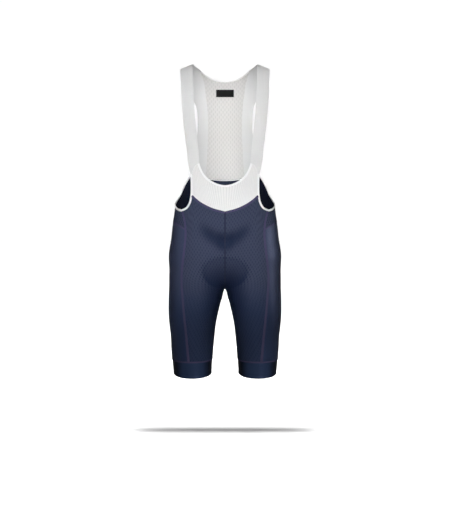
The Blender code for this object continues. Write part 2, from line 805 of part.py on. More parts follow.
def pad_surface():
    """The form under the pad, [along, across]: each row is walked out sideways from the middle seam."""
    front = middle_seam(PAD_FRONT_Z, -1, CURVE_SAMPLES)
    back = middle_seam(PAD_BACK_Z, 1, CURVE_SAMPLES)
    spine = resample(joined(front, back[::-1]), PAD_ROWS)
    share = np.linspace(0, 1, PAD_ROWS + 1)
    width = read(PAD_OUTLINE, "half_width", share, "share")[:, None]
    along = unit(np.gradient(spine, axis=0))
    heading = np.broadcast_to(vector(1, 0, 0), spine.shape)
    walked = [spine]
    for _ in range(PAD_COLUMNS * PAD_STEPS_A_COLUMN):
        up = outward(walked[-1])
        heading = heading - along * (heading * along).sum(-1, keepdims=True)
        heading = unit(heading - up * (heading * up).sum(-1, keepdims=True))
        walked.append(settle(walked[-1] + heading * width / (PAD_COLUMNS * PAD_STEPS_A_COLUMN)))
    half = np.stack(walked[::PAD_STEPS_A_COLUMN], axis=1)
    return np.concatenate([mirrored(half)[:, :0:-1], half], axis=1)


def seat_pad(colours):
    """A shaped foam pad inside the fork, from the front up to the seat, thinning to its edge."""
    grid = pad_surface()[:, ::-1]
    across = np.linspace(-1, 1, grid.shape[1])[None, :]
    along = np.linspace(-1, 1, grid.shape[0])[:, None]
    body = np.sqrt(1 - across**4) * np.sqrt(1 - along**8)
    thickness = PAD_EDGE_THICKNESS + (PAD_THICKNESS - PAD_EDGE_THICKNESS) * body
    normal = outward(grid)
    outer = grid - normal * PAD_CLEARANCE
    inner = outer - normal * thickness[..., None]
    closed("seat_pad", np.concatenate([outer, inner]), False, colours["foam"])


def neck_label(colours):
    """A small flat label on the inside of the back mesh."""
    x = np.linspace(-LABEL_HALF_WIDTH, LABEL_HALF_WIDTH, LABEL_COLUMNS + 1)
    z = LABEL_MIDDLE_Z + np.linspace(-LABEL_HEIGHT / 2, LABEL_HEIGHT / 2, LABEL_ROWS + 1)
    grid = cast(vector(x[None, :], 0, z[:, None]), vector(0, 1, 0))
    deepest = -LABEL_CLEARANCE - LABEL_THICKNESS
    wall("neck_label", grid, colours["label"], inner=deepest, outer=-LABEL_CLEARANCE, gap=0)


# ---------------------------------------------------------------- materials


def finish(name, colour, roughness):
    """A plain cloth finish with the given linear colour."""
    material = bpy.data.materials.new(name)
    material.use_nodes = True
    shader = material.node_tree.nodes["Principled BSDF"]
    shader.inputs["Base Color"].default_value = (*colour, 1.0)
    shader.inputs["Roughness"].default_value = roughness
    shader.inputs["Metallic"].default_value = 0.0
    return material


def finishes():
    """One finish for each kind of cloth."""
    return {
        "dimpled_knit": finish("navy_dimpled_knit", (0.030, 0.040, 0.065), 0.75),
        "smooth_knit": finish("navy_smooth_knit", (0.035, 0.045, 0.070), 0.55),
        "gripper": finish("navy_gripper_band", (0.012, 0.018, 0.035), 0.45),
        "ribbed_mesh": finish("white_ribbed_mesh", (0.72, 0.73, 0.75), 0.85),
        "open_mesh": finish("white_open_mesh", (0.70, 0.71, 0.73), 0.85),
        "elastic": finish("light_grey_elastic", (0.62, 0.63, 0.65), 0.70),
        "binding": finish("white_binding_tape", (0.78, 0.79, 0.80), 0.70),
        "foam": finish("black_pad_cloth", (0.020, 0.020, 0.024), 0.90),
        "label": finish("black_woven_label", (0.030, 0.030, 0.032), 0.60),
    }


def main():
    for old in list(bpy.data.objects):
        bpy.data.objects.remove(old, do_unlink=True)
    colours = finishes()
    seams = make_seams()
    ring = lower_panels(seams, colours)
    cuffs(ring, colours)
    bib(seams, colours)
    back_mesh(seams, colours)
    edge_points = bindings(seams, colours)
    straps(seams, edge_points, colours)
    seat_pad(colours)
    neck_label(colours)


main()
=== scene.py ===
"""Cycling bib shorts, dressed: thin knit shells, flatlock seams and bindings on the form of the part's walls.

Metres, +Z up, the front facing -Y, the origin midway between the shoulders. Each piece of cloth is a grid of
points on one smooth form. The form, the seams and the grids repeat the part's own, then get many more points.
"""

import json

import bpy
import numpy as np
from mathutils import Matrix

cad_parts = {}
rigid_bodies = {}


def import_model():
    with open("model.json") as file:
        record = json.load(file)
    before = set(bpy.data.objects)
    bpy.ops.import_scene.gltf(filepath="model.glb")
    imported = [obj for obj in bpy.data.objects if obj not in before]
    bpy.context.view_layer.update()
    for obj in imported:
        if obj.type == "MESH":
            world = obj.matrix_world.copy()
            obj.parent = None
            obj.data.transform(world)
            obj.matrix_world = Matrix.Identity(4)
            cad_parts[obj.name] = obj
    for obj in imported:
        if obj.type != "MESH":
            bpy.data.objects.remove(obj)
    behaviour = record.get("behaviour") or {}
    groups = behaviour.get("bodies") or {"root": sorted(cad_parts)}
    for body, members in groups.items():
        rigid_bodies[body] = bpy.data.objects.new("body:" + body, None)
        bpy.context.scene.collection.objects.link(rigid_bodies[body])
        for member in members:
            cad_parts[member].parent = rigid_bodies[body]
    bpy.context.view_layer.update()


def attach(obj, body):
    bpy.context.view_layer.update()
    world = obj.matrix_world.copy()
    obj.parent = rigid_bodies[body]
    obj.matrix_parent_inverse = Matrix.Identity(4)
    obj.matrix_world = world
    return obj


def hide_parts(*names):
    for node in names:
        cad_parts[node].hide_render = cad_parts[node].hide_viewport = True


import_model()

# Which side of the body, and the sign of its x
SIDES = (("right", 1), ("left", -1))

# Thicknesses, widths and gaps of the cloth, in metres
CLOTH = 0.0016
ELASTIC = 0.0022
STRAP_EDGE_THINNER = 0.0005
STRAP_EDGE_POWER = 10
CUFF_DRAWN_IN = 0.0009
BINDING_WIDTH = 0.006
NECK_BINDING_WIDTH = 0.003
SEAM_GAP = 0.0003
SEAM_DIP = 0.0005
SEAM_DIP_WIDTH = 0.0022
LABEL_WIDTH = 0.053
LABEL_HEIGHT = 0.022
LABEL_MIDDLE_Z = -0.0735
LABEL_THICKNESS = 0.0008
LABEL_CLEARANCE = 0.0009

# Relief of the mesh and the hem. A mask's two numbers are where it starts and where it is full
RIB_PITCH = 0.0055
RIB_HEIGHT = 0.00018
SLIT_PITCH = 0.0112
SLIT_STEP = 0.0149
SLIT_DEPTH = 0.00030
SLIT_ACROSS_MASK = (0.45, 0.95)
SLIT_ALONG_MASK = (-0.1, 0.7)
HEM_BEAD = 0.0004
HEM_BEAD_WIDTH = 0.0018

# Binding tape: its places across run from -1 at the cloth to 1 at the fold
TAPE_SIDES = 20
TAPE_THICKNESS = 0.0026
TAPE_UNDER = 0.0005
TAPE_FLATNESS = 0.5
TAPE_ROUNDNESS = 0.6
TAPE_GROOVE = 0.22
TAPE_GROOVE_AT = -0.62
TAPE_GROOVE_WIDTH = 0.13
TAPE_NARROWING = 0.68
TAPE_NARROWEST = 0.80
TAPE_NARROW_REACH = 0.16

# Flatlock stitching
STITCH = 0.0023
STRIP_COLUMNS = 7
STITCH_RISE = 0.0005
STITCH_EDGE = 0.0001
STITCH_SUNK = 0.0006
FLATLOCK_WIDTH = 0.0072
FINE_FLATLOCK_WIDTH = 0.0046
V_STITCH_WIDTH = 0.0070
V_STITCH_SHIFT = 0.0035
INSIDE_STITCH_WIDTH = 0.0022
INSIDE_STITCH_SHIFT = -0.0017
INSIDE_STITCH_UNDER = -0.0018
CENTRE_STITCH_WIDTH = 0.0040
CUFF_STITCH_WIDTH = 0.0044
STRAP_STITCH_WIDTH = 0.0030

# The pad, its sewn channels in shares of its half width and half length, and how it shows through the cloth
PAD_CLEARANCE = 0.0029
PAD_THICKNESS = 0.0090
PAD_EDGE = 0.0020
CHANNEL_AT = 0.42
CHANNEL_BOW = 0.10
CHANNEL_WIDTH = 0.05
CHANNEL_DEPTH = 0.55
MIDDLE_CHANNEL_WIDTH = 0.045
MIDDLE_CHANNEL_REACH = 0.72
CROSS_CHANNEL_AT = 0.45
CROSS_CHANNEL_WIDTH = 0.022
CROSS_CHANNEL_MASK = (0.40, 0.50)
PAD_SHOWS = 0.0014
PAD_EDGE_SOFTNESS = 0.006
IMPRINT_Z = -0.5880
IMPRINT_ACROSS = 0.0710
IMPRINT_UP = 0.0445
IMPRINT_DOWN = 0.0620
IMPRINT_BEHIND_MASK = (-0.045, 0.0)

# The pad's outline as it shows under the crotch and behind: share of the pad's length, half width
IMPRINT = (
    (0.000, 0.040),
    (0.520, 0.040),
    (0.640, 0.066),
    (0.800, 0.084),
    (0.930, 0.062),
    (0.985, 0.030),
    (1.000, 0.000),
)

# Soft creases: side, ends (x and z), how far the middle sags, how round the bend is (2 a bow, 1 a sharp V),
# half width, depth
CREASES = [
    ("front", -0.066, -0.472, 0.064, -0.471, 0.037, 1.25, 0.0185, 0.0066),
    ("front", -0.024, -0.499, 0.025, -0.498, 0.004, 2.0, 0.0200, 0.0048),
    ("back", 0.018, -0.600, 0.130, -0.610, 0.015, 2.0, 0.0090, 0.0016),
    ("back", -0.014, -0.603, -0.136, -0.606, 0.018, 2.0, 0.0080, 0.0018),
    ("back", -0.070, -0.374, 0.055, -0.366, 0.006, 2.0, 0.0080, 0.0009),
    ("back", 0.052, -0.796, 0.138, -0.789, 0.004, 2.0, 0.0060, 0.0008),
    ("back", -0.058, -0.788, -0.133, -0.794, 0.003, 2.0, 0.0070, 0.0007),
]
CREASE_START_MASK = (-0.15, 0.25)
CREASE_END_MASK = (0.75, 1.15)
CREASE_SIDE_MASK = (0.0, 0.03)
FULL_FOLD = 0.0040

# Droop of the leg's front towards the cuff
FRONT_DROOP = 0.0042
DROOP_DOWN_MASK = (0.74, 0.85)
DROOP_FRONT_MASK = (-0.02, 0.075)

# How many times finer the pieces' grids are than the part's, down and across
PANEL_FINE = 8
CURVE_FINE = 6
BIB_DOWN = 10
BIB_ACROSS = 18
MESH_DOWN = 14
MESH_ACROSS = 18
STRAP_DOWN = 5
STRAP_ACROSS = 5
PAD_FINE = 4
CUFF_FINE_ROWS = 12
CUFF_FINE_COLUMNS = 128
LABEL_ROWS = 15
LABEL_COLUMNS = 31
RIM_ANGLE = np.radians(50)

# Patterns of the knits, in metres, drawn as coarse as they need to be to show, and their relief
KNIT_COLUMN = 0.0011
KNIT_ROW = 0.0009
KNIT_RELIEF_MM = 0.03
SIDE_RELIEF_MM = 0.02
BAND_RELIEF_MM = 0.006
LEVELLING = 0.80
LEVEL_BY = 0.16
DIMPLE_ACROSS = 0.0090
DIMPLE_ALONG = 0.0138
DIMPLE_MASK = (-0.15, 0.80)
DIMPLE_DEPTH_MM = 0.35
DIMPLE_SHARE = 0.55
SIDE_DIMPLE_SHARE = 0.30
TWILL_PITCH = 0.0030

# Where the navy is darker, and by what share, in metres in from the pad's edge, down from the shoulders, out
# from the middle of the body, or to either side of the middle of the leg. Over the pad it is partly the pad
# behind the knit and partly painted shade, with its stitched edge; at the crotch, the fork, the creases, the
# legs and the cuffs' sides it is painted shade
PAD_DARK_FROM = 0.0005
PAD_DARK_WITHIN = 0.007
PAD_EDGE_END_MASK = (0.004, 0.012)
PAD_EDGE_SHARE = 0.5
BACKED_AND_SHADE_SHARE = 0.26
CROTCH_FROM = 0.555
CROTCH_TO = 0.640
CROTCH_SHADE_SHARE = 0.60
FORK_ASIDE_MASK = (0.015, 0.080)
FORK_START_MASK = (0.585, 0.645)
FORK_END_MASK = (0.66, 0.78)
FORK_SHADE_SHARE = 0.75
FOLD_SHADE_SHARE = 0.85
# Painted shade down the legs: where it starts, where it is full, and its share
LEG_TOP = 0.590
LEG_DARKEST = 0.720
LEG_SHADE_SHARE = 0.45
CUFF_SHINE_X = 0.0935
CUFF_DARK_FROM = 0.026
CUFF_DARK_TO = 0.050
CUFF_SIDE_SHADE_SHARE = 0.85

# Painted shade on the inner skin: where it starts to darken outwards from the middle and where that ends, its
# share, and the share added there
NAVY_INSIDE_SHADE = (0.05, 0.11, 0.62, 0.38)
WHITE_INSIDE_SHADE = (0.0, 0.06, 0.10, 0.14)
STRAP_TOP_MASK = (-0.24, -0.10)
STRAP_TOP_SHARE = 0.5

# Patterns of the mesh, the elastic, the tape, the thread, the pad's cloth and the label
RIB_GROOVE_MASK = (-0.1, 0.9)
RIB_GROOVE_SHADE_SHARE = 0.22
PINHOLE_STEP = 0.0021
PINHOLE_MASK = (0.2, 0.9)
PINHOLE_SHADE_SHARE = 0.35
PINHOLE_DEPTH_MM = 0.25
OPENING_ACROSS_MASK = (0.50, 0.95)
OPENING_ALONG_MASK = (-0.50, 0.40)
OPENING_SHADE_SHARE = 0.32
MESH_STITCH = 0.00165
MESH_RELIEF_MM = 0.03
ELASTIC_RIB = 0.0016
ELASTIC_RIB_MM = 0.06
ELASTIC_PICK_MM = 0.02
ELASTIC_GROOVE_SHADE_SHARE = 0.3
TAPE_RIB = 0.0014
TAPE_RIB_MM = 0.05
ZIGZAG_SLANT = 0.8
ZIGZAG_STEP = 0.00345
THREAD_MASK = (-0.5, 0.6)
THREAD_MM = 0.15
MOTTLE_SCALE = 180.0
MOTTLE_MM = 0.2
LABEL_RIB = 0.0008
LABEL_RIB_MM = 0.03
LABEL_BORDER_MASK = (0.0006, 0.0016)
LABEL_BORDER_SHARE = 0.8

# Finishes: roughness, specular level, sheen
DIMPLED_SHINE = (0.65, 0.18, 0.0)
SIDE_SHINE = (0.42, 0.45, 0.0)
BAND_SHINE = (0.36, 0.25, 0.0)
RIBBED_SHINE = (0.75, 0.25, 0.1)
MESH_SHINE = (0.8, 0.2, 0.1)
ELASTIC_SHINE = (0.6, 0.3, 0.1)
TAPE_SHINE = (0.55, 0.35, 0.1)
THREAD_SHINE = (0.65, 0.2, 0.0)
PAD_SHINE = (0.9, 0.15, 0.4)
LABEL_SHINE = (0.6, 0.15, 0.0)

# Colours
NAVY = "#3B4154"
NAVY_DIMPLE = "#252B41"
# The pad behind the knit and painted shade at the crotch and beside the fork; also the pad edge's stitched
# dimples
NAVY_BACKED_AND_SHADE = "#141E37"
# Painted shade in the creases, and the gap colour between the dark thread's stitches
NAVY_FOLD_SHADE_AND_THREAD_GAP = "#151F36"
# Painted shade down the legs, where the light falls off
LEG_SHADE_NAVY = "#10284A"
NAVY_SHINE = "#A9B6E4"
# Painted shade inside the garment, on the navy
INSIDE_SHADE_NAVY = "#0A0D1A"
SIDE_NAVY = "#333A51"
BAND_NAVY = "#38435C"
# Painted shade at the sides of the cuffs
CUFF_SIDE_SHADE_NAVY = "#080B16"
BIB_WHITE = "#EBEAEA"
# Painted shade in the bib's grooves and pinholes
BIB_GROOVE_SHADE = "#CFCFD2"
BIB_PINHOLE_SHADE = "#A9A9AE"
MESH_WHITE = "#DBD9D7"
# Painted shade inside the garment, on the white cloth
INSIDE_SHADE_WHITE = "#B4B4B6"
# Painted shade of the dim inside, seen through the back mesh's openings
MESH_OPENING_SHADE = "#A9A9AA"
STRAP_GREY = "#E2E2E2"
# Painted shade in the grooves of the elastic
STRAP_GROOVE_SHADE = "#CFD0D3"
TAPE_WHITE = "#F4F4F5"
THREAD = "#454162"
THREAD_GAP = "#383551"
DARK_THREAD = "#20263C"
PAD_GREY = "#4A4F5C"
PAD_PALE = "#5C6270"
LABEL_BLACK = "#0C0C0D"
LABEL_THREAD = "#525254"

# Camera, stage and light: each lamp has its place, its target, its two sides, watts, spread in degrees, and
# what it lights: everything, with no shadow of the straps, the shine of things alone, the garment alone, or
# the floor alone, with only the card's shadow. DOME_TOP is the dome's open angle at its top, in radians
CAMERA_PLACE = (0.0, -3.4, -0.35)
CAMERA_TARGET = (0.0, 0.0, -0.542)
ALMOST_UP = (0.0, 0.001, 1.0)
LENS = 83.4
SENSOR = 36.0
FLOOR_Z = -1.065
FLOOR_GLOW = 0.10
SWEEP_START = 0.4
SWEEP_END = 1.2
STAGE_RADIUS = 12.0
DOME_SHARE = 0.98
DOME_SIDES = 48
DOME_RINGS = 12
DOME_TOP = 0.05
DOME_GLOW = 1.02
WORLD_LIGHT = 0.06
LAMPS = [
    ("key", (-0.06, -2.2, 0.12), (0.0, 0.0, -0.25), (1.2, 0.95), 3.3, 14, "all"),
    ("front", (0.0, -3.3, 0.0), (0.0, 0.0, -0.25), (1.6, 1.2), 1.0, 40, "all"),
    ("right strip", (2.0, -0.22, -0.26), (0.10, 0.0, -0.50), (0.8, 0.60), 5.6, 120, "shine"),
    ("left strip", (-2.0, -0.50, -0.30), (-0.10, 0.0, -0.60), (0.4, 0.5), 1.8, 120, "shine"),
    ("low front", (0.9, -2.2, -0.95), (0.0, 0.0, -0.93), (0.5, 0.05), 0.14, 10, "all"),
    ("back", (0.0, 2.6, 0.4), (0.0, 0.0, -0.40), (1.8, 1.2), 30.0, 120, "garment"),
    ("floor wash", (0.0, 0.0, 1.9), (0.0, 0.0, -1.0), (1.2, 1.2), 100.0, 170, "floor"),
]
CARD_Z = -0.905
CARD_Y = 0.017
CARD_HALF_WIDTH = 0.254
CARD_HALF_DEPTH = 0.0290
CARD_SIDES = 64
CARD_POWER = 0.75

# The form
TORSO_ROUNDNESS = 2.4
LEG_ROUNDNESS = 2.1
SHOULDER_SLOPE = np.radians(22.0)
SHOULDER_PEAK_X = 0.092
SHOULDER_SOFTNESS = 0.050
SHOULDER_ARCH = 0.110
PIVOT_Z = -0.125
PELVIS_START_Z = -0.518
PELVIS_DEPTH = 0.118
PELVIS_ROUNDNESS = 2.3
LEG_TOP_Z = -0.560
LEG_TOP_ROUNDING = 0.090
BLEND = 0.022
TORSO_SCALE = 0.105
LEG_SCALE = 0.078
MIDDLE_SEAM_TURN_Z = -0.540
CUFF_SEAM_Z = -0.847
HEM_Z = -0.8885
HEM_SLOPE = 0.095
HALVINGS = 24
MEASURE_CAP = 4

# Rows and columns of the part's own grids
ROWS_ABOVE_CROTCH = 14
ROWS_INSEAM = 10
ROWS_HIP = 3
ROWS_SIDE = ROWS_ABOVE_CROTCH + ROWS_INSEAM - ROWS_HIP
ROWS_BIB = 5
ROWS_BACK_MESH = 16
ROWS_STRAP_FREE = 20
COLUMNS_STRAP_SEAM = 3
COLUMNS_SCOOP = 6
COLUMNS_V = COLUMNS_STRAP_SEAM + COLUMNS_SCOOP
COLUMNS_HORN = 3
COLUMNS_HIP = 10
COLUMNS_BACK_EDGE = 4
COLUMNS_BAND = 4
COLUMNS_MESH_HALF = 5
PAD_ROWS = 22
PAD_COLUMNS = 7
PAD_STEPS_A_COLUMN = 4
CURVE_SAMPLES = 160
NET_ROUNDS = 60


def table(names, *rows):
    """A dictionary of columns, from their names and the rows."""
    return dict(zip(names.split(), np.array(rows, float).T))


# Sections of the torso: half width, depth to the front, depth to the back
TORSO = table(
    "z half_width front back",
    (-0.700, 0.1500, 0.100, 0.108),
    (-0.620, 0.1520, 0.102, 0.110),
    (-0.560, 0.1560, 0.103, 0.111),
    (-0.522, 0.1555, 0.103, 0.109),
    (-0.487, 0.1530, 0.102, 0.105),
    (-0.452, 0.1490, 0.101, 0.101),
    (-0.410, 0.1435, 0.099, 0.097),
    (-0.360, 0.1450, 0.102, 0.098),
    (-0.300, 0.1490, 0.106, 0.101),
    (-0.200, 0.1530, 0.106, 0.104),
    (-0.120, 0.1540, 0.102, 0.102),
    (-0.050, 0.1535, 0.097, 0.098),
    (0.050, 0.1530, 0.092, 0.096),
)

# Sections of the leg: centre across, centre front to back, half width, half depth
LEG = table(
    "z centre_x centre_y half_width half_depth",
    (-0.920, 0.0945, -0.005, 0.0535, 0.0600),
    (-0.887, 0.0945, -0.005, 0.0550, 0.0620),
    (-0.853, 0.0952, -0.004, 0.0572, 0.0670),
    (-0.818, 0.0953, -0.003, 0.0596, 0.0725),
    (-0.783, 0.0944, -0.002, 0.0620, 0.0785),
    (-0.748, 0.0944, -0.001, 0.0660, 0.0845),
    (-0.713, 0.0920, 0.000, 0.0706, 0.0900),
    (-0.679, 0.0878, 0.001, 0.0745, 0.0945),
    (-0.640, 0.0835, 0.002, 0.0775, 0.0980),
    (-0.600, 0.0815, 0.003, 0.0790, 0.0990),
    (-0.560, 0.0800, 0.003, 0.0780, 0.0980),
    (-0.520, 0.0790, 0.003, 0.0740, 0.0940),
    (-0.460, 0.0780, 0.003, 0.0680, 0.0860),
)

# The line inside each half of the body from which the lower panels are measured round
AXIS = table(
    "z x",
    (-0.920, 0.0933),
    (-0.750, 0.0930),
    (-0.680, 0.0890),
    (-0.600, 0.0850),
    (-0.500, 0.0780),
    (-0.420, 0.0700),
    (-0.300, 0.0680),
)


def seen(seen_from, *spots):
    """Rows of a seam's list that are all seen from one direction."""
    return [(seen_from, first, second) for first, second in spots]


# Places on the form: (seen from, first, second), which is x and z from the front or back, y and z from the
# side, and x and degrees past the top of the shoulder when over it.
ARMHOLE_BESIDE_BIB = seen("front", (0.0914, -0.3130), (0.0907, -0.3450), (0.0917, -0.3735))
ARMHOLE_BELOW_HORN = seen(
    "front",
    (0.0948, -0.3910), (0.1018, -0.4070), (0.1120, -0.4162), (0.1215, -0.4200),
)
ARMHOLE_UNDER_ARM = (
    seen("front", (0.1310, -0.4190))
    + seen("side", (-0.0300, -0.4135), (0.0000, -0.4045), (0.0300, -0.3940))
    + seen("back", (0.1282, -0.3735))
)
ARMHOLE_UP_THE_BACK = seen("back", (0.1190, -0.3500), (0.1090, -0.3315), (0.0975, -0.3155))
SCOOP = seen(
    "front",
    (0.0770, -0.2857), (0.0717, -0.3012), (0.0614, -0.3200), (0.0428, -0.3373), (0.0235, -0.3470),
    (0.0000, -0.3515),
)
STRAP_SEAM = seen("front", (0.0770, -0.2857), (0.0850, -0.2930), (0.0900, -0.3025), (0.0914, -0.3130))
V_SEAM = seen("front", (0.0000, -0.4190), (0.0340, -0.4100), (0.0675, -0.3930), (0.0917, -0.3735))
FRONT_PRINCESS_SEAM = seen("front", (0.1144, -0.4436), (0.1112, -0.4720))
FRONT_LEG_SEAM = seen(
    "front",
    (0.1130, -0.5113), (0.1160, -0.5397), (0.1197, -0.5680), (0.1225, -0.6020), (0.1220, -0.6360),
    (0.1193, -0.6700), (0.1163, -0.7100), (0.1097, -0.7793), (0.1040, CUFF_SEAM_Z),
)
BACK_PRINCESS_SEAM = seen("back", (0.1180, -0.4020), (0.1130, -0.4320))
BACK_LEG_SEAM = seen(
    "back",
    (0.1120, -0.4800), (0.1180, -0.5400), (0.1230, -0.6000), (0.1220, -0.6600), (0.1170, -0.7200),
    (0.1100, -0.7800), (0.1045, CUFF_SEAM_Z),
)
HIP_SEAM_MIDDLE = (
    seen("front", (0.1300, -0.4602))
    + seen("side", (-0.0100, -0.4505), (0.0450, -0.4385))
)
BACK_SEAM = seen("back", (0.0000, -0.3300), (0.0300, -0.3284), (0.0580, -0.3232))
BACK_SEAM_UNDER_BAND = seen("back", (0.0580, -0.3232), (0.0780, -0.3192), (0.0975, -0.3155))
MESH_NECK_EDGE = seen("back", (0.0000, -0.0423), (0.0270, -0.0393), (0.0520, -0.0295), (0.0715, -0.0155))
MESH_SIDE_SEAM = seen(
    "back",
    (0.0715, -0.0155), (0.0625, -0.0406), (0.0565, -0.0823), (0.0515, -0.1299), (0.0506, -0.1894),
    (0.0527, -0.2489), (0.0580, -0.3232),
)
STRAP_INNER_EDGE = (
    seen("front", (0.0740, -0.2455), (0.0776, -0.2120), (0.0813, -0.1780), (0.0847, -0.1440))
    + seen("over", (0.0885, -60.0), (0.0905, -30.0), (0.0915, -8.0), (0.0860, 12.0))
)
STRAP_OUTER_EDGE = (
    seen(
        "front",
        (0.1030, -0.2850), (0.1070, -0.2455), (0.1115, -0.2120), (0.1155, -0.1780), (0.1186, -0.1440),
    )
    + seen("over", (0.1225, -60.0), (0.1250, -30.0), (0.1260, 0.0), (0.1180, 30.0), (0.1010, 60.0))
    + seen(
        "back",
        (0.0860, -0.1100), (0.0808, -0.1500), (0.0818, -0.1900), (0.0880, -0.2400), (0.0960, -0.2850),
    )
)

# The pad: share of its length from front to back, half width
PAD_OUTLINE = table(
    "share half_width",
    (0.00, 0.018),
    (0.06, 0.046),
    (0.18, 0.068),
    (0.30, 0.062),
    (0.43, 0.040),
    (0.52, 0.040),
    (0.64, 0.066),
    (0.80, 0.084),
    (0.93, 0.062),
    (1.00, 0.022),
)
PAD_FRONT_Z = -0.543
PAD_BACK_Z = -0.500


# ---------------------------------------------------------------- numbers


def through(xs, ys, x):
    """A smooth curve through the points (xs, ys), read at x: cubics with slopes from the neighbours."""
    slopes = np.gradient(ys, xs, axis=0)
    x = np.clip(x, xs[0], xs[-1])
    i = np.clip(np.searchsorted(xs, x) - 1, 0, len(xs) - 2)
    step = xs[i + 1] - xs[i]
    t = (x - xs[i]) / step
    more = (...,) + (None,) * (np.ndim(ys) - 1)
    step, t = step[more], t[more]
    start = ys[i] * (1 + 2 * t) * (1 - t) ** 2 + slopes[i] * step * t * (1 - t) ** 2
    end = ys[i + 1] * t**2 * (3 - 2 * t) + slopes[i + 1] * step * t**2 * (t - 1)
    return start + end


def read(rows, column, at, key="z"):
    """A table's column as a smooth curve of its key column."""
    return through(rows[key], rows[column], at)


def unit(v):
    """Each vector at length 1."""
    return v / np.maximum(np.linalg.norm(v, axis=-1, keepdims=True), 1e-12)


def vector(x, y, z):
    """Points or directions from their three parts, any of which can be one number."""
    return np.stack(np.broadcast_arrays(x, y, z), axis=-1).astype(float)


def mirrored(points):
    """The same on the other side of the body."""
    return points * np.array([-1.0, 1.0, 1.0])


def joined(*curves):
    """Curves end to end, with each shared point once."""
    return np.concatenate([curves[0]] + [c[1:] for c in curves[1:]])


def whole(half):
    """A curve that starts in the middle, with its mirror image in front of it."""
    return joined(mirrored(half)[::-1], half)


def smooth_step(value, low, high):
    """0 below low and 1 above high, with an S between."""
    t = np.clip((value - low) / (high - low), 0, 1)
    return t * t * (3 - 2 * t)


def bump(away, width):
    """1 in the middle and soft to either side: exp(-(distance away / width) squared)."""
    return np.exp(-((away / width) ** 2))


def squared_off(wave_value, power):
    """A sine or cosine to a power, with its own sign, for the outline of a superellipse."""
    return np.sign(wave_value) * np.abs(wave_value) ** power


# ---------------------------------------------------------------- the form


def shoulder_line(x):
    """Height of the shoulder above x, sloping down outwards and rounded over the neck."""
    bent = np.hypot(x, SHOULDER_SOFTNESS)
    return np.tan(SHOULDER_SLOPE) * (np.hypot(SHOULDER_PEAK_X, SHOULDER_SOFTNESS) - bent)


def torso_measure(p):
    """1 on the torso, less inside: superellipses, arched over the shoulders and rounded below."""
    x, y, z = np.abs(p[..., 0]), p[..., 1], p[..., 2]
    across = x / read(TORSO, "half_width", z)
    depth = np.where(y < 0, read(TORSO, "front", z), read(TORSO, "back", z))
    flat = (across**TORSO_ROUNDNESS + np.abs(y / depth) ** TORSO_ROUNDNESS) ** (1 / TORSO_ROUNDNESS)
    below = np.clip((PELVIS_START_Z - z) / PELVIS_DEPTH, 0, None)
    flat = (flat**PELVIS_ROUNDNESS + below**PELVIS_ROUNDNESS) ** (1 / PELVIS_ROUNDNESS)
    arch = np.clip(1 - (shoulder_line(x) - z) / SHOULDER_ARCH, 0, None)
    side = np.clip(1 - across**TORSO_ROUNDNESS, 1e-4, None) ** (1 / TORSO_ROUNDNESS)
    arched = np.hypot(y / (depth * side), arch)
    return np.where(arch > 0, arched, flat)


def leg_measure(p):
    """1 on the leg, less inside: superellipses round the leg's centre line, rounded off at the top."""
    x, y, z = np.abs(p[..., 0]), p[..., 1], p[..., 2]
    across = np.abs(x - read(LEG, "centre_x", z)) / read(LEG, "half_width", z)
    deep = np.abs(y - read(LEG, "centre_y", z)) / read(LEG, "half_depth", z)
    above = np.clip((z - LEG_TOP_Z) / LEG_TOP_ROUNDING, 0, None)
    powers = across**LEG_ROUNDNESS + deep**LEG_ROUNDNESS + above**LEG_ROUNDNESS
    return powers ** (1 / LEG_ROUNDNESS)


def form(p):
    """Roughly the distance outside the body: torso and legs joined with a soft blend."""
    torso = (np.clip(torso_measure(p), 0, MEASURE_CAP) - 1) * TORSO_SCALE
    leg = (np.clip(leg_measure(p), 0, MEASURE_CAP) - 1) * LEG_SCALE
    near = np.clip(1 - np.abs(torso - leg) / BLEND, 0, None)
    return np.minimum(torso, leg) - near**2 * BLEND / 4


def slope_of(p, reach=0.0004):
    """The direction in which the form falls away fastest, by how much."""
    steps = np.eye(3) * reach
    return np.stack([(form(p + s) - form(p - s)) / (2 * reach) for s in steps], axis=-1)


def outward(p):
    """Square to the form, away from the body."""
    return unit(slope_of(p))


def settle(p, steps=6):
    """Moves points that are close to the form on to it: down the slope by the height over it."""
    for _ in range(steps):
        slope = slope_of(p)
        p = p - slope * (form(p) / np.maximum((slope**2).sum(-1), 1e-9))[..., None]
    return p


def crossing(inside, outside):
    """Where the line from each point inside to one outside crosses the form, by halving."""
    for _ in range(HALVINGS):
        middle = (inside + outside) / 2
        is_out = form(middle)[..., None] > 0
        inside = np.where(is_out, inside, middle)
        outside = np.where(is_out, middle, outside)
    return outside


def cast(start, direction, step=0.006, count=45):
    """Where each ray from inside first leaves the form."""
    start, direction = np.broadcast_arrays(start, direction)
    reach = np.arange(1, count + 1) * step
    rays = start[..., None, :] + direction[..., None, :] * reach[:, None]
    is_out = form(rays) > 0
    first = reach[np.argmax(is_out, axis=-1)][..., None]
    return crossing(start + direction * (first - step), start + direction * first)


# ---------------------------------------------------------------- curves and charts


def spot(row):
    """The point of the form that a row of a seam's list names."""
    seen_from, first, second = row
    if seen_from == "side":
        return cast(vector(read(AXIS, "x", second), first, second), vector(1, 0, 0))
    if seen_from == "over":
        turn = np.radians(second)
        return cast(vector(first, 0, PIVOT_Z), vector(0, np.sin(turn), np.cos(turn)))
    towards = -1 if seen_from == "front" else 1
    return cast(vector(first, 0, second), vector(0, towards, 0))


def places(rows):
    """The points that a seam's list names."""
    return np.array([spot(row) for row in rows])


def lengths(points):
    """How far along its curve each point is."""
    steps = np.linalg.norm(np.diff(points, axis=0), axis=-1)
    return np.concatenate([[0], np.cumsum(steps)])


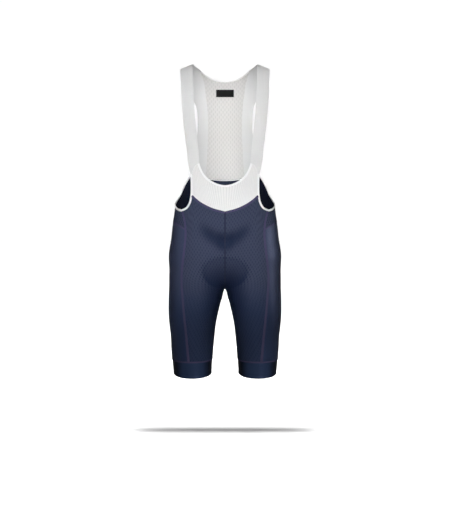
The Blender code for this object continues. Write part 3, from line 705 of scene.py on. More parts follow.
def resample(dense, count):
    """count + 1 points at even steps along a dense curve, on the form."""
    run = lengths(dense)
    stops = np.linspace(0, run[-1], count + 1)
    return settle(np.stack([np.interp(stops, run, dense[:, k]) for k in range(3)], axis=-1))


def split_curve(groups, counts):
    """A smooth curve through several groups of points, cut at each group's last point: a list of curves."""
    points = np.concatenate(groups)
    run = lengths(points)
    ends = run[np.cumsum([len(group) for group in groups]) - 1]
    starts = np.concatenate([[0], ends[:-1]])
    pieces = []
    for start, end, count in zip(starts, ends, counts):
        dense = through(run, points, np.linspace(start, end, CURVE_SAMPLES))
        pieces.append(resample(settle(dense), count))
    return pieces


def curve(points, count):
    """count + 1 points at even steps along a smooth curve through the points, on the form."""
    return split_curve([points], [count])[0]


def even_in_middle(points, count):
    """The curve through the points with no bend at its start, which is in the middle of the body."""
    return curve(whole(points), 2 * count)[count:]


def round_chart(points, behind=False):
    """(angle, z) of points on one half of the body: 0 at the inseam and a quarter turn at the front."""
    away = points[..., 0] - read(AXIS, "x", points[..., 2])
    angle = np.arctan2(-points[..., 1], -away)
    angle = np.where(angle < -1e-6, angle + 2 * np.pi, angle)
    if behind:
        angle = np.where(angle < np.pi / 2, angle + 2 * np.pi, angle)
    return np.stack([angle, points[..., 2]], axis=-1)


def from_round_chart(chart):
    """The points of the form at these angles and heights."""
    angle, z = chart[..., 0], chart[..., 1]
    start = vector(read(AXIS, "x", z), 0, z)
    return cast(start, vector(-np.cos(angle), -np.sin(angle), 0))


def saddle_chart(points):
    """(x, turn) of points on the upper body: turn is the angle over the shoulder, and past level it goes on
    with the drop below the pivot."""
    y, z = points[..., 1], points[..., 2]
    turn = np.arctan2(y, np.maximum(z - PIVOT_Z, 0))
    drop = np.maximum(PIVOT_Z - z, 0) / abs(PIVOT_Z)
    return np.stack([points[..., 0], turn + np.sign(y) * drop], axis=-1)


def from_saddle_chart(chart):
    """The points of the form at these x and turns."""
    x, turn = chart[..., 0], chart[..., 1]
    level = np.clip(turn, -np.pi / 2, np.pi / 2)
    drop = np.abs(turn - level) * abs(PIVOT_Z)
    return cast(vector(x, 0, PIVOT_Z - drop), vector(0, np.sin(level), np.cos(level)))


def patch(bottom, top, left, right):
    """A grid between four edges, [row, column]: each inner point blends the edges around it."""
    u = np.linspace(0, 1, len(bottom))[None, :, None]
    v = np.linspace(0, 1, len(left))[:, None, None]
    ruled = (1 - v) * bottom[None] + v * top[None] + (1 - u) * left[:, None] + u * right[:, None]
    low = (1 - u) * bottom[0] + u * bottom[-1]
    high = (1 - u) * top[0] + u * top[-1]
    return ruled - (1 - v) * low - v * high


def spread(bottom, top, left, right):
    """A grid on the form between four edges given as points: evened out like a net pulled over the form."""
    grid = settle(patch(bottom, top, left, right))
    for _ in range(NET_ROUNDS):
        around = grid[:-2, 1:-1] + grid[2:, 1:-1] + grid[1:-1, :-2] + grid[1:-1, 2:]
        grid[1:-1, 1:-1] = settle(around / 4, 2)
    return grid


def finer(grid, down, across):
    """The grid with this many times the rows and columns: smooth curves through its points, on the form."""
    for axis, times in ((0, down), (1, across)):
        stops = np.arange(grid.shape[axis], dtype=float)
        fine = np.linspace(0, stops[-1], (len(stops) - 1) * times + 1)
        grid = np.moveaxis(through(stops, np.moveaxis(grid, axis, 0), fine), 0, axis)
    return settle(grid)


def middle_seam(start_z, towards, count):
    """From start_z down the middle of the front (towards -1) or back (1) to the fork of the legs."""
    heights = np.linspace(start_z, MIDDLE_SEAM_TURN_Z, CURVE_SAMPLES)
    straight = cast(vector(0, 0, heights), vector(0, towards, 0))
    turn = np.linspace(0, np.pi / 2, CURVE_SAMPLES)
    turning = cast(vector(0, 0, MIDDLE_SEAM_TURN_Z), vector(0, np.cos(turn) * towards, -np.sin(turn)))
    return resample(joined(straight, turning), count)


def inseam(fork, count):
    """Down the inside of the leg, from the fork to the cuff."""
    heights = np.linspace(fork[2], CUFF_SEAM_Z, CURVE_SAMPLES)[1:]
    inside = crossing(vector(read(AXIS, "x", heights), 0, heights), vector(0, 0, heights))
    return resample(np.concatenate([fork[None], inside]), count)


def make_seams():
    """Every seam and edge of one half, each with as many points as the grids on its two sides."""
    beside_bib, horn, under_arm, up_back = split_curve(
        [
            places(ARMHOLE_BESIDE_BIB),
            places(ARMHOLE_BELOW_HORN),
            places(ARMHOLE_UNDER_ARM),
            places(ARMHOLE_UP_THE_BACK),
        ],
        [ROWS_BIB, COLUMNS_HORN, COLUMNS_HIP, COLUMNS_BACK_EDGE],
    )
    front_princess, front_leg = split_curve(
        [np.concatenate([horn[-1:], places(FRONT_PRINCESS_SEAM)]), places(FRONT_LEG_SEAM)],
        [ROWS_HIP, ROWS_SIDE],
    )
    back_princess, back_leg = split_curve(
        [np.concatenate([under_arm[-1:], places(BACK_PRINCESS_SEAM)]), places(BACK_LEG_SEAM)],
        [ROWS_HIP, ROWS_SIDE],
    )
    hip = np.concatenate([front_princess[-1:], places(HIP_SEAM_MIDDLE), back_princess[-1:]])
    front_middle = middle_seam(V_SEAM[0][2], -1, ROWS_ABOVE_CROTCH)
    back_middle = middle_seam(BACK_SEAM[0][2], 1, ROWS_ABOVE_CROTCH)
    back_middle[-1] = front_middle[-1]
    return {
        "beside_bib": beside_bib,
        "horn": horn,
        "under_arm": under_arm,
        "up_back": up_back,
        "front_princess": front_princess,
        "front_leg": front_leg,
        "back_princess": back_princess,
        "back_leg": back_leg,
        "hip": curve(hip, COLUMNS_HIP),
        "front_middle": front_middle,
        "back_middle": back_middle,
        "inseam": inseam(front_middle[-1], ROWS_INSEAM),
        "v": curve(places(V_SEAM), COLUMNS_V),
        "scoop": even_in_middle(places(SCOOP)[::-1], COLUMNS_SCOOP)[::-1],
        "strap": curve(places(STRAP_SEAM), COLUMNS_STRAP_SEAM),
        "back": even_in_middle(places(BACK_SEAM), COLUMNS_MESH_HALF),
        "back_band": curve(places(BACK_SEAM_UNDER_BAND), COLUMNS_BAND),
        "neck": even_in_middle(places(MESH_NECK_EDGE), COLUMNS_MESH_HALF),
        "mesh_side": curve(places(MESH_SIDE_SEAM), ROWS_BACK_MESH),
    }


def level_seam(start, end, count, behind=False):
    """The seam above the cuff, from one panel's corner to the other."""
    first, last = round_chart(np.stack([start, end]), behind)
    share = np.linspace(0, 1, count + 1)[:, None]
    return from_round_chart(first * (1 - share) + last * share)


def edge_frame(edge):
    """Directions out of the cloth at a curved edge, and into the opening that the edge goes round."""
    along = unit(np.gradient(edge, axis=0))
    up = outward(edge)
    away = unit(np.cross(along, up))
    if (away * (edge.mean(axis=0) - edge)).sum() < 0:
        away = -away
    return up, away


def beyond(edge, width):
    """The edge's first and last point, moved past a binding of this width."""
    _, away = edge_frame(edge)
    return settle(edge[[0, -1]] + away[[0, -1]] * (width + SEAM_GAP))


# ---------------------------------------------------------------- grids of the panels


def lower_grids(seams):
    """The part's grids of the shorts' panels on the right, and the ring of the seam above the cuff."""
    front_inside = joined(seams["front_middle"], seams["inseam"])[::-1]
    back_inside = joined(seams["back_middle"], seams["inseam"])[::-1]
    front_side = joined(seams["front_princess"], seams["front_leg"])[::-1]
    back_side = joined(seams["back_princess"], seams["back_leg"])[::-1]
    front_top = joined(seams["v"], seams["horn"])
    back_top = joined(seams["up_back"], seams["back_band"][::-1], seams["back"][::-1])
    front_cuff = level_seam(front_inside[0], front_side[0], len(front_top) - 1)
    side_cuff = level_seam(front_side[0], back_side[0], COLUMNS_HIP)
    back_cuff = level_seam(back_side[0], back_inside[0], len(back_top) - 1, behind=True)
    side_edges = side_cuff, seams["hip"], seams["front_leg"][::-1], seams["back_leg"][::-1]
    hip_edges = seams["hip"], seams["under_arm"], seams["front_princess"][::-1], seams["back_princess"][::-1]
    ahead = round_chart(joined(front_cuff, side_cuff))
    behind = round_chart(back_cuff, behind=True)
    return {
        "front_panel": spread(front_cuff, front_top, front_inside, front_side),
        "back_panel": spread(back_cuff, back_top, back_side, back_inside),
        "side_panel": from_round_chart(patch(*map(round_chart, side_edges))),
        "hip_panel": from_round_chart(patch(*map(round_chart, hip_edges))),
        "cuff_seam": np.concatenate([ahead, behind[1:-1]]),
    }


def cuff_grid(ring, rows, columns):
    """A band round the leg from the level seam to the hem, which dips to the front."""
    first = ring[:1] + [2 * np.pi, 0]
    stops = np.linspace(0, len(ring), columns, endpoint=False)
    known = np.arange(len(ring) + 1, dtype=float)
    angle = np.interp(stops, known, np.concatenate([ring, first])[:, 0])
    seam = from_round_chart(np.stack([angle, np.full(columns, CUFF_SEAM_Z)], axis=-1))
    hem_z = HEM_Z + HEM_SLOPE * seam[:, 1]
    share = np.linspace(0, 1, rows + 1)[:, None]
    heights = CUFF_SEAM_Z * share + hem_z * (1 - share)
    return from_round_chart(np.stack([np.broadcast_to(angle, heights.shape), heights], axis=-1))


def bib_grid(seams):
    """The front mesh between the scoop, the straps, the armholes and the V seam."""
    half_top = joined(seams["strap"][::-1], seams["scoop"])
    top = joined(mirrored(half_top), half_top[::-1])
    side = seams["beside_bib"][::-1]
    edges = whole(seams["v"]), top, mirrored(side), side
    return from_saddle_chart(patch(*map(saddle_chart, edges)))


def back_mesh_grid(seams):
    """The back mesh between the two bands, from the neck to the back seam."""
    side = seams["mesh_side"][::-1]
    edges = whole(seams["back"]), whole(seams["neck"]), mirrored(side), side
    return from_saddle_chart(patch(*map(saddle_chart, edges)))


def strap_edges(seams, edge_points):
    """The strap's inner and outer edge, from the bib over the shoulder to the back seam."""
    armhole_start, armhole_end, scoop_end, neck_end = edge_points
    inner_points = np.concatenate([scoop_end[None], places(STRAP_INNER_EDGE), neck_end[None]])
    outer_points = np.concatenate([armhole_start[None], places(STRAP_OUTER_EDGE), armhole_end[None]])
    inner = np.concatenate([curve(inner_points, ROWS_STRAP_FREE), seams["mesh_side"]])
    return inner, curve(outer_points, len(inner) - 1)


def strap_grid(seams, edge_points):
    """The strap between its two edges, the bib's top corner and the back seam."""
    armhole_start, armhole_end, scoop_end, _ = edge_points
    front = np.concatenate([scoop_end[None], seams["strap"], armhole_start[None]])
    back = np.concatenate([seams["back_band"], armhole_end[None]])
    inner, outer = strap_edges(seams, edge_points)
    return from_saddle_chart(patch(*map(saddle_chart, (front, back, inner, outer))))


def pad_spine(count):
    """The middle line of the pad from its front, under the crotch and up the seat."""
    front = middle_seam(PAD_FRONT_Z, -1, CURVE_SAMPLES)
    back = middle_seam(PAD_BACK_Z, 1, CURVE_SAMPLES)
    return resample(joined(front, back[::-1]), count)


def pad_surface():
    """The form under the pad, [along, across]: each row is walked out sideways from the middle seam."""
    spine = pad_spine(PAD_ROWS)
    share = np.linspace(0, 1, PAD_ROWS + 1)
    width = read(PAD_OUTLINE, "half_width", share, "share")[:, None]
    along = unit(np.gradient(spine, axis=0))
    heading = np.broadcast_to(vector(1, 0, 0), spine.shape)
    walked = [spine]
    for _ in range(PAD_COLUMNS * PAD_STEPS_A_COLUMN):
        up = outward(walked[-1])
        heading = heading - along * (heading * along).sum(-1, keepdims=True)
        heading = unit(heading - up * (heading * up).sum(-1, keepdims=True))
        walked.append(settle(walked[-1] + heading * width / (PAD_COLUMNS * PAD_STEPS_A_COLUMN)))
    half = np.stack(walked[::PAD_STEPS_A_COLUMN], axis=1)
    return np.concatenate([mirrored(half)[:, :0:-1], half], axis=1)


# ---------------------------------------------------------------- meshes


def run_along(grid, axis):
    """How far each point of a grid is along its column (axis 0) or its row (axis 1), in metres."""
    steps = np.linalg.norm(np.diff(grid, axis=axis), axis=-1)
    start = np.zeros_like(np.take(steps, [0], axis=axis))
    return np.cumsum(np.concatenate([start, steps], axis=axis), axis=axis)


def cut_coordinates(grid):
    """(across, along) of each point as on the flat cut, from the first column and from the last row."""
    along = run_along(grid, 0)
    return np.stack([run_along(grid, 1), along[-1:] - along], axis=-1)


def levelled(uv, grid):
    """Turns the knit's rows from lines that follow the top seam to nearly level ones further down.

    A row's place is its distance from the seam, less a share of the seam's height there above its middle.
    """
    across, along = uv[..., 0], uv[..., 1]
    seam_height = grid[-1:, :, 2] - grid[-1:, :1, 2]
    return np.stack([across, along - seam_height * LEVELLING * smooth_step(along, 0.0, LEVEL_BY)], axis=-1)


def shell(outer, inner, uv, ring=False):
    """Points, faces and each corner's UV of a closed shell between two skins of the same rows and columns.

    A ring's columns close on themselves, and its UV has one column more.
    """
    rows, columns = outer.shape[:2]
    row = np.arange(2 * rows)[:, None]
    column = np.arange(columns + ring)[None, :]

    def around(number):
        """The quads of the outer skin, of the inner one turned over, and of the rims between them."""
        top, under = number[:rows], number[rows:]
        corners = [
            (top[:-1, :-1], top[:-1, 1:], top[1:, 1:], top[1:, :-1]),
            (under[:-1, :-1], under[1:, :-1], under[1:, 1:], under[:-1, 1:]),
            (top[0, :-1], under[0, :-1], under[0, 1:], top[0, 1:]),
            (top[-1, 1:], under[-1, 1:], under[-1, :-1], top[-1, :-1]),
        ]
        if not ring:
            corners.append((top[1:, 0], under[1:, 0], under[:-1, 0], top[:-1, 0]))
            corners.append((top[:-1, -1], under[:-1, -1], under[1:, -1], top[1:, -1]))
        return np.concatenate([np.stack(quad, axis=-1).reshape(-1, 4) for quad in corners])

    points = np.concatenate([outer, inner]).reshape(-1, 3)
    faces = around(row * columns + column % columns)
    places_on_cut = np.concatenate([uv, uv]).reshape(-1, 2)[around(row * (columns + ring) + column)]
    return points, faces, places_on_cut


def drooped(points):
    """Towards the cuff the leg's front hangs a little lower than its sides, so its rings bow down there."""
    low = smooth_step(-points[:, 2], *DROOP_DOWN_MASK)
    front = smooth_step(-points[:, 1], *DROOP_FRONT_MASK)
    return points - low[:, None] * front[:, None] * vector(0, 0, FRONT_DROOP)


def add_piece(name, shells, material, slot, replaced=(), **marks):
    """One named mesh from several shells, smooth but for its rims, riding on the part's one body."""
    starts = np.cumsum([0] + [len(points) for points, _, _ in shells])
    points = drooped(np.concatenate([points for points, _, _ in shells]))
    faces = np.concatenate([faces + start for (_, faces, _), start in zip(shells, starts)])
    uv = np.concatenate([uv for _, _, uv in shells])
    mesh = bpy.data.meshes.new(name)
    mesh.from_pydata(points.tolist(), [], faces.tolist())
    mesh.uv_layers.new(name="cut").data.foreach_set("uv", uv.astype(np.float32).ravel())
    marks = {mark: np.tile(values.ravel(), 2) for mark, values in marks.items()}
    if len(shells) == 1:
        marks["inside"] = np.arange(len(points)) >= len(points) // 2
    for mark, values in marks.items():
        attribute = mesh.attributes.new(mark, "FLOAT", "POINT")
        attribute.data.foreach_set("value", values.astype(np.float32))
    mesh.materials.append(material)
    mesh.shade_smooth()
    mesh.set_sharp_from_angle(angle=RIM_ANGLE)
    piece = bpy.data.objects.new(name, mesh)
    bpy.context.collection.objects.link(piece)
    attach(piece, "root")
    if replaced:
        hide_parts(*replaced)
    return piece


def laid_on_form(grid, normal, under, outer_rise, inner_rise, uv, ring=False):
    """A shell over the grid: each skin is the form's point plus its height along the form's own normal.

    The faces turn out whichever side of the body the grid is on, because a mirrored grid has its columns
    turned round.
    """
    outer = grid + normal * (under + outer_rise)[..., None]
    inner = grid + normal * (under + inner_rise)[..., None]
    if is_turned(grid, normal):
        outer, inner, uv = outer[:, ::-1], inner[:, ::-1], uv[:, ::-1]
    return shell(outer, inner, uv, ring)


def is_turned(grid, normal):
    """Whether a grid's rows and columns go round the other way from its normal."""
    return np.cross(grid[0, 1] - grid[0, 0], grid[1, 0] - grid[0, 0]) @ normal[0, 0] < 0


# ---------------------------------------------------------------- relief of the cloth


def pad_distance(points):
    """Metres outside the pad's outline, less than 0 inside.

    In front the outline is an oval, taller below its widest place than above. Behind, it is the distance from
    the pad's spine, less the half width of the pad there.
    """
    x, y, z = points[..., 0], points[..., 1], points[..., 2]
    height = np.where(z > IMPRINT_Z, IMPRINT_UP, IMPRINT_DOWN)
    oval = (np.hypot(x / IMPRINT_ACROSS, (z - IMPRINT_Z) / height) - 1) * IMPRINT_UP
    flat = points.reshape(-1, 3)
    away = np.linalg.norm(flat[:, None] - pad_spine(CURVE_SAMPLES)[None], axis=-1)
    nearest = away.argmin(axis=1)
    shares, half_widths = np.array(IMPRINT).T
    half_width = np.interp(nearest / CURVE_SAMPLES, shares, half_widths)
    behind = (away.min(axis=1) - half_width).reshape(x.shape)
    return oval + (behind - oval) * smooth_step(y, *IMPRINT_BEHIND_MASK)


def crease_depth(points):
    """How far the creases sink the cloth: each is a soft trough about a bent line on the front or the back.

    Its depth falls off as exp(-(distance / half width) squared), and fades out at both ends.
    """
    x, y, z = points[..., 0], points[..., 1], points[..., 2]
    sunk = np.zeros(x.shape)
    for side, x_start, z_start, x_end, z_end, sag, roundness, half_width, depth in CREASES:
        share = (x - x_start) / (x_end - x_start)
        inside = smooth_step(share, *CREASE_START_MASK) * (1 - smooth_step(share, *CREASE_END_MASK))
        bend = 1 - np.abs(2 * np.clip(share, 0, 1) - 1) ** roundness
        line = z_start + (z_end - z_start) * share - sag * bend
        facing = smooth_step(y * (1 if side == "back" else -1), *CREASE_SIDE_MASK)
        sunk += depth * inside * facing * bump(z - line, half_width)
    return sunk


def over_pad(points):
    """How far the cloth is raised where the pad lies under it."""
    return PAD_SHOWS * smooth_step(-pad_distance(points), -PAD_EDGE_SOFTNESS, PAD_EDGE_SOFTNESS)


def edge_sink(uv, edges=(True, True, True, True)):
    """How far the cloth dips at its first and last column and its last and first row, if they are seams."""
    across, along = uv[..., 0], uv[..., 1]
    to_edges = [across, across[:, -1:] - across, along - along[-1:], along[:1] - along]
    gaps = [gap for gap, seamed in zip(to_edges, edges) if seamed]
    return SEAM_DIP * bump(np.min(gaps, axis=0), SEAM_DIP_WIDTH)


# ---------------------------------------------------------------- pieces


def panel(name, half_grid, material, slot, over_the_pad):
    """A knit panel on both sides of the body: the form, raised over the pad, sunk in the creases and dipped
    at its seams."""
    for side, sign in SIDES:
        grid = half_grid * vector(sign, 1, 1)
        normal = outward(grid)
        uv = cut_coordinates(grid)
        sunk = crease_depth(grid)
        rise = -sunk
        # the fold mark carries the painted shade of the creases, which grows with their depth
        marks = {"fold": 1 - np.exp(-sunk / FULL_FOLD)}
        if over_the_pad:
            rise = rise + over_pad(grid)
            marks["inside_pad"] = -pad_distance(grid)
        if is_turned(grid, normal):
            marks = {mark: values[:, ::-1] for mark, values in marks.items()}
        rows = levelled(uv, grid) if name == "front_panel" else uv
        skin = laid_on_form(grid, normal, 0.0, CLOTH + rise - edge_sink(uv), rise, rows)
        piece = add_piece(f"{name}_{side}_cloth", [skin], material, slot, [f"{name}_{side}"], **marks)


def cuff_pieces(ring, material):
    """The gripper bands: a level tube a little inside the leg's cloth, its hem turned up as a low bead.

    The bead's height is a bump, exp(-(distance from the hem / its width) squared).
    """
    half = cuff_grid(ring, CUFF_FINE_ROWS, CUFF_FINE_COLUMNS)
    for side, sign in SIDES:
        grid = half * vector(sign, 1, 1)
        normal = outward(half) * vector(sign, 1, 1)
        closed_grid = np.concatenate([grid, grid[:, :1]], axis=1)
        uv = cut_coordinates(closed_grid)
        bead = HEM_BEAD * bump(run_along(grid, 0), HEM_BEAD_WIDTH)
        top = edge_sink(uv, (False, False, True, False))[:, :-1]
        outer, inner = CLOTH + bead - top, np.zeros_like(bead)
        skin = laid_on_form(grid, normal, -CUFF_DRAWN_IN, outer, inner, uv, ring=True)
        piece = add_piece(f"cuff_{side}_band", [skin], material, "navy_gripper_band", [f"cuff_{side}"])


def bib_piece(seams, material):
    """The front mesh: ribs run from the scoop down to the V seam and fan with the columns of the grid.

    A rib's height is cos(2 pi times the column's place / the ribs' pitch at the V seam).
    """
    grid = finer(bib_grid(seams), BIB_DOWN, BIB_ACROSS)
    uv = cut_coordinates(grid)
    fan = np.broadcast_to(uv[:1, :, 0], uv.shape[:2])
    ribs = RIB_HEIGHT * np.cos(2 * np.pi * (fan - fan[:, -1:] / 2) / RIB_PITCH)
    rise = CLOTH + ribs * (1 - edge_sink(uv) / SEAM_DIP) - edge_sink(uv)
    fanned = np.stack([fan - fan[:, -1:] / 2, uv[..., 1]], axis=-1)
    skin = laid_on_form(grid, outward(grid), 0.0, rise, np.zeros_like(rise), fanned)
    piece = add_piece("front_bib_mesh", [skin], material, "white_ribbed_mesh", ["front_bib"])


def back_mesh_piece(seams, material):
    """The back mesh: staggered upright dimples where the knit opens, as deep on the inside as outside.

    A dimple is where cos(2 pi across / pitch) and cos(2 pi up / step) are both high, or both low.
    """
    grid = finer(back_mesh_grid(seams), MESH_DOWN, MESH_ACROSS)
    uv = np.stack([grid[..., 0], run_along(grid, 0)], axis=-1)
    over = np.cos(2 * np.pi * uv[..., 0] / SLIT_PITCH)
    up = np.cos(2 * np.pi * uv[..., 1] / SLIT_STEP)
    here = smooth_step(over, *SLIT_ACROSS_MASK) * smooth_step(up, *SLIT_ALONG_MASK)
    between = smooth_step(-over, *SLIT_ACROSS_MASK) * smooth_step(-up, *SLIT_ALONG_MASK)
    dimple = SLIT_DEPTH * np.maximum(here, between)
    sink = edge_sink(cut_coordinates(grid))
    skin = laid_on_form(grid, outward(grid), 0.0, CLOTH - dimple - sink, dimple, uv)
    piece = add_piece("back_mesh_cloth", [skin], material, "white_open_mesh", ["back_mesh"])


def strap_pieces(seams, edge_points, material):
    """The wide elastic straps: flat bands, a little thinner at their edges, where they are knitted flat.

    The thickness is the elastic's, less the difference times (place across, -1 to 1) to a high even power.
    """
    half = finer(strap_grid(seams, edge_points), STRAP_DOWN, STRAP_ACROSS)
    place_across = np.linspace(-1, 1, half.shape[1])[None, :]
    thinner = STRAP_EDGE_THINNER * place_across**STRAP_EDGE_POWER
    thickness = np.broadcast_to(ELASTIC - thinner, half.shape[:2])
    for side, sign in SIDES:
        grid = half * vector(sign, 1, 1)
        uv = cut_coordinates(grid)
        skin = laid_on_form(grid, outward(grid), 0.0, thickness, np.zeros(thickness.shape), uv)
        piece = add_piece(f"strap_{side}_band", [skin], material, "light_grey_elastic", [f"strap_{side}"])


def finer_curve(points):
    """The curve with CURVE_FINE times the steps, on the form."""
    stops = np.arange(len(points), dtype=float)
    return settle(through(stops, points, np.linspace(0, stops[-1], (len(stops) - 1) * CURVE_FINE + 1)))


def tape(edge, width, narrowing=0.0):
    """A binding folded over an edge: a flat oval carried along the edge, with a stitch groove by the cloth.

    The oval is (cos to a low power, sin to a middling power), so its faces are flat and its fold is round.
    The groove takes a little off its height near a fifth of its width. The tape is pulled narrower by
    narrowing times exp(-(distance from the narrowest place) squared).
    """
    up, away = edge_frame(edge)
    turn = (np.arange(TAPE_SIDES) + 0.5) / TAPE_SIDES * 2 * np.pi
    across = squared_off(np.cos(turn), TAPE_FLATNESS)
    high = squared_off(np.sin(turn), TAPE_ROUNDNESS)
    groove = 1 - TAPE_GROOVE * bump(across - TAPE_GROOVE_AT, TAPE_GROOVE_WIDTH)
    rows = len(edge)
    run = lengths(edge)
    widths = width * (1 - narrowing * bump(run / run[-1] - TAPE_NARROWEST, TAPE_NARROW_REACH))
    flat = (across[None] + 1) * widths[:, None] / 2 + SEAM_GAP / 2
    height = (high * groove + 1) * TAPE_THICKNESS / 2 - TAPE_UNDER
    skin = edge[:, None] + away[:, None] * flat[..., None] + up[:, None] * height[:, None]
    number = np.arange(rows * TAPE_SIDES).reshape(rows, TAPE_SIDES)
    after = np.roll(number, -1, axis=1)
    faces = np.stack([number[:-1], after[:-1], after[1:], number[1:]], axis=-1).reshape(-1, 4)
    around = np.arange(TAPE_SIDES) / TAPE_SIDES * 2 * (width + TAPE_THICKNESS)
    step = 2 * (width + TAPE_THICKNESS) / TAPE_SIDES
    first_u = np.broadcast_to(around[None], (rows - 1, TAPE_SIDES))
    low_v = np.broadcast_to(run[:-1, None], first_u.shape)
    high_v = np.broadcast_to(run[1:, None], first_u.shape)
    corners = [(first_u, low_v), (first_u + step, low_v), (first_u + step, high_v), (first_u, high_v)]
    uv = np.stack([np.stack(corner, axis=-1) for corner in corners], axis=-2).reshape(-1, 4, 2)
    half = TAPE_SIDES // 2
    caps = []
    for cap in (number[0, ::-1], number[-1]):
        back = cap[::-1]
        caps.append(np.stack([cap[: half - 1], cap[1:half], back[1:half], back[: half - 1]], axis=-1))
    cap_faces = np.concatenate(caps)
    cap_uv = np.zeros((len(cap_faces), 4, 2))
    faces, uv = np.concatenate([faces, cap_faces]), np.concatenate([uv, cap_uv])
    centre = skin[0].mean(axis=0)
    if np.cross(skin[0, 1] - skin[0, 0], skin[1, 0] - skin[0, 0]) @ (skin[0, 0] - centre) < 0:
        faces, uv = faces[:, ::-1], uv[:, ::-1]
    return skin.reshape(-1, 3), faces, uv


def binding_piece(name, node, edge, width, material, rests_on, narrowing=0.0):
    """One binding: its tape along the edge, the face and the fold."""
    made = tape(edge, width, narrowing)
    piece = add_piece(name, [made], material, "white_binding_tape", [node])


def stitch_strip(path, width, shift=0.0, under=0.0, ring=False):
    """A flatlock seam: a low ribbon along a path, bowed across as 1 - (place across, -1 to 1) to the 4th.

    It follows the cloth over the pad's edge and into the creases. shift moves it sideways. Its underside is
    sunk in the cloth.
    """
    ahead = np.roll(path, -1, axis=0) - np.roll(path, 1, axis=0) if ring else np.gradient(path, axis=0)
    up = outward(path)
    sideways = unit(np.cross(unit(ahead), up))
    place_across = np.linspace(-1, 1, STRIP_COLUMNS)
    points = path[:, None] + sideways[:, None] * (place_across * width / 2 + shift)[:, None]
    points = settle(points, 3)
    normal = outward(points)
    level = (under + CLOTH + over_pad(points) - crease_depth(points))[..., None]
    bow = STITCH_RISE * (1 - place_across**4) - STITCH_EDGE
    run = lengths(np.concatenate([path, path[:1]]) if ring else path)
    uv = np.stack(np.broadcast_arrays(place_across[None] * width / 2, run[:, None]), axis=-1)
    outer = points + normal * (level + bow[None, :, None])
    inner = points + normal * (level - STITCH_SUNK)
    if ring:
        outer, inner, uv = (np.swapaxes(a, 0, 1) for a in (outer, inner, uv))
        normal = np.swapaxes(normal, 0, 1)
    if is_turned(outer, normal):
        outer, inner, uv = outer[::-1], inner[::-1], uv[::-1]
    return shell(outer, inner, uv, ring)


def both(shells):
    """The shells and their mirror images, whose faces are turned back out."""
    made = []
    for points, faces, uv in shells:
        made += [(points, faces, uv), (mirrored(points), faces[:, ::-1], uv[:, ::-1])]
    return made


def pad_piece(material):
    """The seat pad: foam that crowns between sewn channels and thins to a stitched edge.

    Its thickness is the edge's plus the foam's times sqrt(1 - across to the 4th) times
    sqrt(1 - along to the 8th), less a share of that in the bump of each channel.
    """
    grid = finer(pad_surface(), PAD_FINE, PAD_FINE)[:, ::-1]
    across = np.linspace(-1, 1, grid.shape[1])[None, :]
    along = np.linspace(-1, 1, grid.shape[0])[:, None]
    body = np.sqrt(1 - across**4) * np.sqrt(1 - along**8)
    lengthwise = bump(np.abs(across) - CHANNEL_AT - CHANNEL_BOW * along**2, CHANNEL_WIDTH)
    middle = bump(across, MIDDLE_CHANNEL_WIDTH) * (np.abs(along) < MIDDLE_CHANNEL_REACH)
    crosswise = bump(np.abs(along) - CROSS_CHANNEL_AT, CROSS_CHANNEL_WIDTH)
    crosswise = crosswise * smooth_step(np.abs(across), *CROSS_CHANNEL_MASK)
    channels = np.maximum(np.maximum(lengthwise, middle), crosswise)
    thickness = PAD_EDGE + (PAD_THICKNESS - PAD_EDGE) * body * (1 - CHANNEL_DEPTH * channels)
    normal = outward(grid)
    outer = grid - normal * PAD_CLEARANCE
    inner = outer - normal * thickness[..., None]
    skin = shell(outer, inner, cut_coordinates(grid))
    piece = add_piece("seat_pad_foam", [skin], material, "pad_cloth", ["seat_pad"])


def label_piece(material):
    """A plain woven label on the inside of the back mesh."""
    x = np.linspace(-LABEL_WIDTH / 2, LABEL_WIDTH / 2, LABEL_COLUMNS)[None, :]
    z = LABEL_MIDDLE_Z + np.linspace(-LABEL_HEIGHT / 2, LABEL_HEIGHT / 2, LABEL_ROWS)[:, None]
    grid = cast(vector(x, 0, z), vector(0, 1, 0))
    uv = np.stack(np.broadcast_arrays(x, z - LABEL_MIDDLE_Z), axis=-1)
    level = np.zeros(grid.shape[:2])
    under = -LABEL_CLEARANCE - LABEL_THICKNESS
    skin = laid_on_form(grid, outward(grid), under, level + LABEL_THICKNESS, level, uv)
    piece = add_piece("neck_label_woven", [skin], material, "woven_label", ["neck_label"])


# ---------------------------------------------------------------- materials

# What a node does in these materials: its kind, and the settings that make it do so
WORK = {
    "times": ("Math", {"operation": "MULTIPLY"}),
    "plus": ("Math", {"operation": "ADD"}),
    "minus": ("Math", {"operation": "SUBTRACT"}),
    "larger": ("Math", {"operation": "MAXIMUM"}),
    "smaller": ("Math", {"operation": "MINIMUM"}),
    "size": ("Math", {"operation": "ABSOLUTE"}),
    "cosine": ("Math", {"operation": "COSINE"}),
    "soft step": ("MapRange", {"interpolation_type": "SMOOTHSTEP"}),
    "blend": ("Mix", {"data_type": "RGBA"}),
}


def linear(colour):
    """A colour written as sRGB hex, turned into the linear values that Blender takes."""
    parts = np.array([int(colour[i : i + 2], 16) for i in (1, 3, 5)]) / 255
    flat = np.where(parts <= 0.04045, parts / 12.92, ((parts + 0.055) / 1.055) ** 2.4)
    return (*flat.tolist(), 1.0)


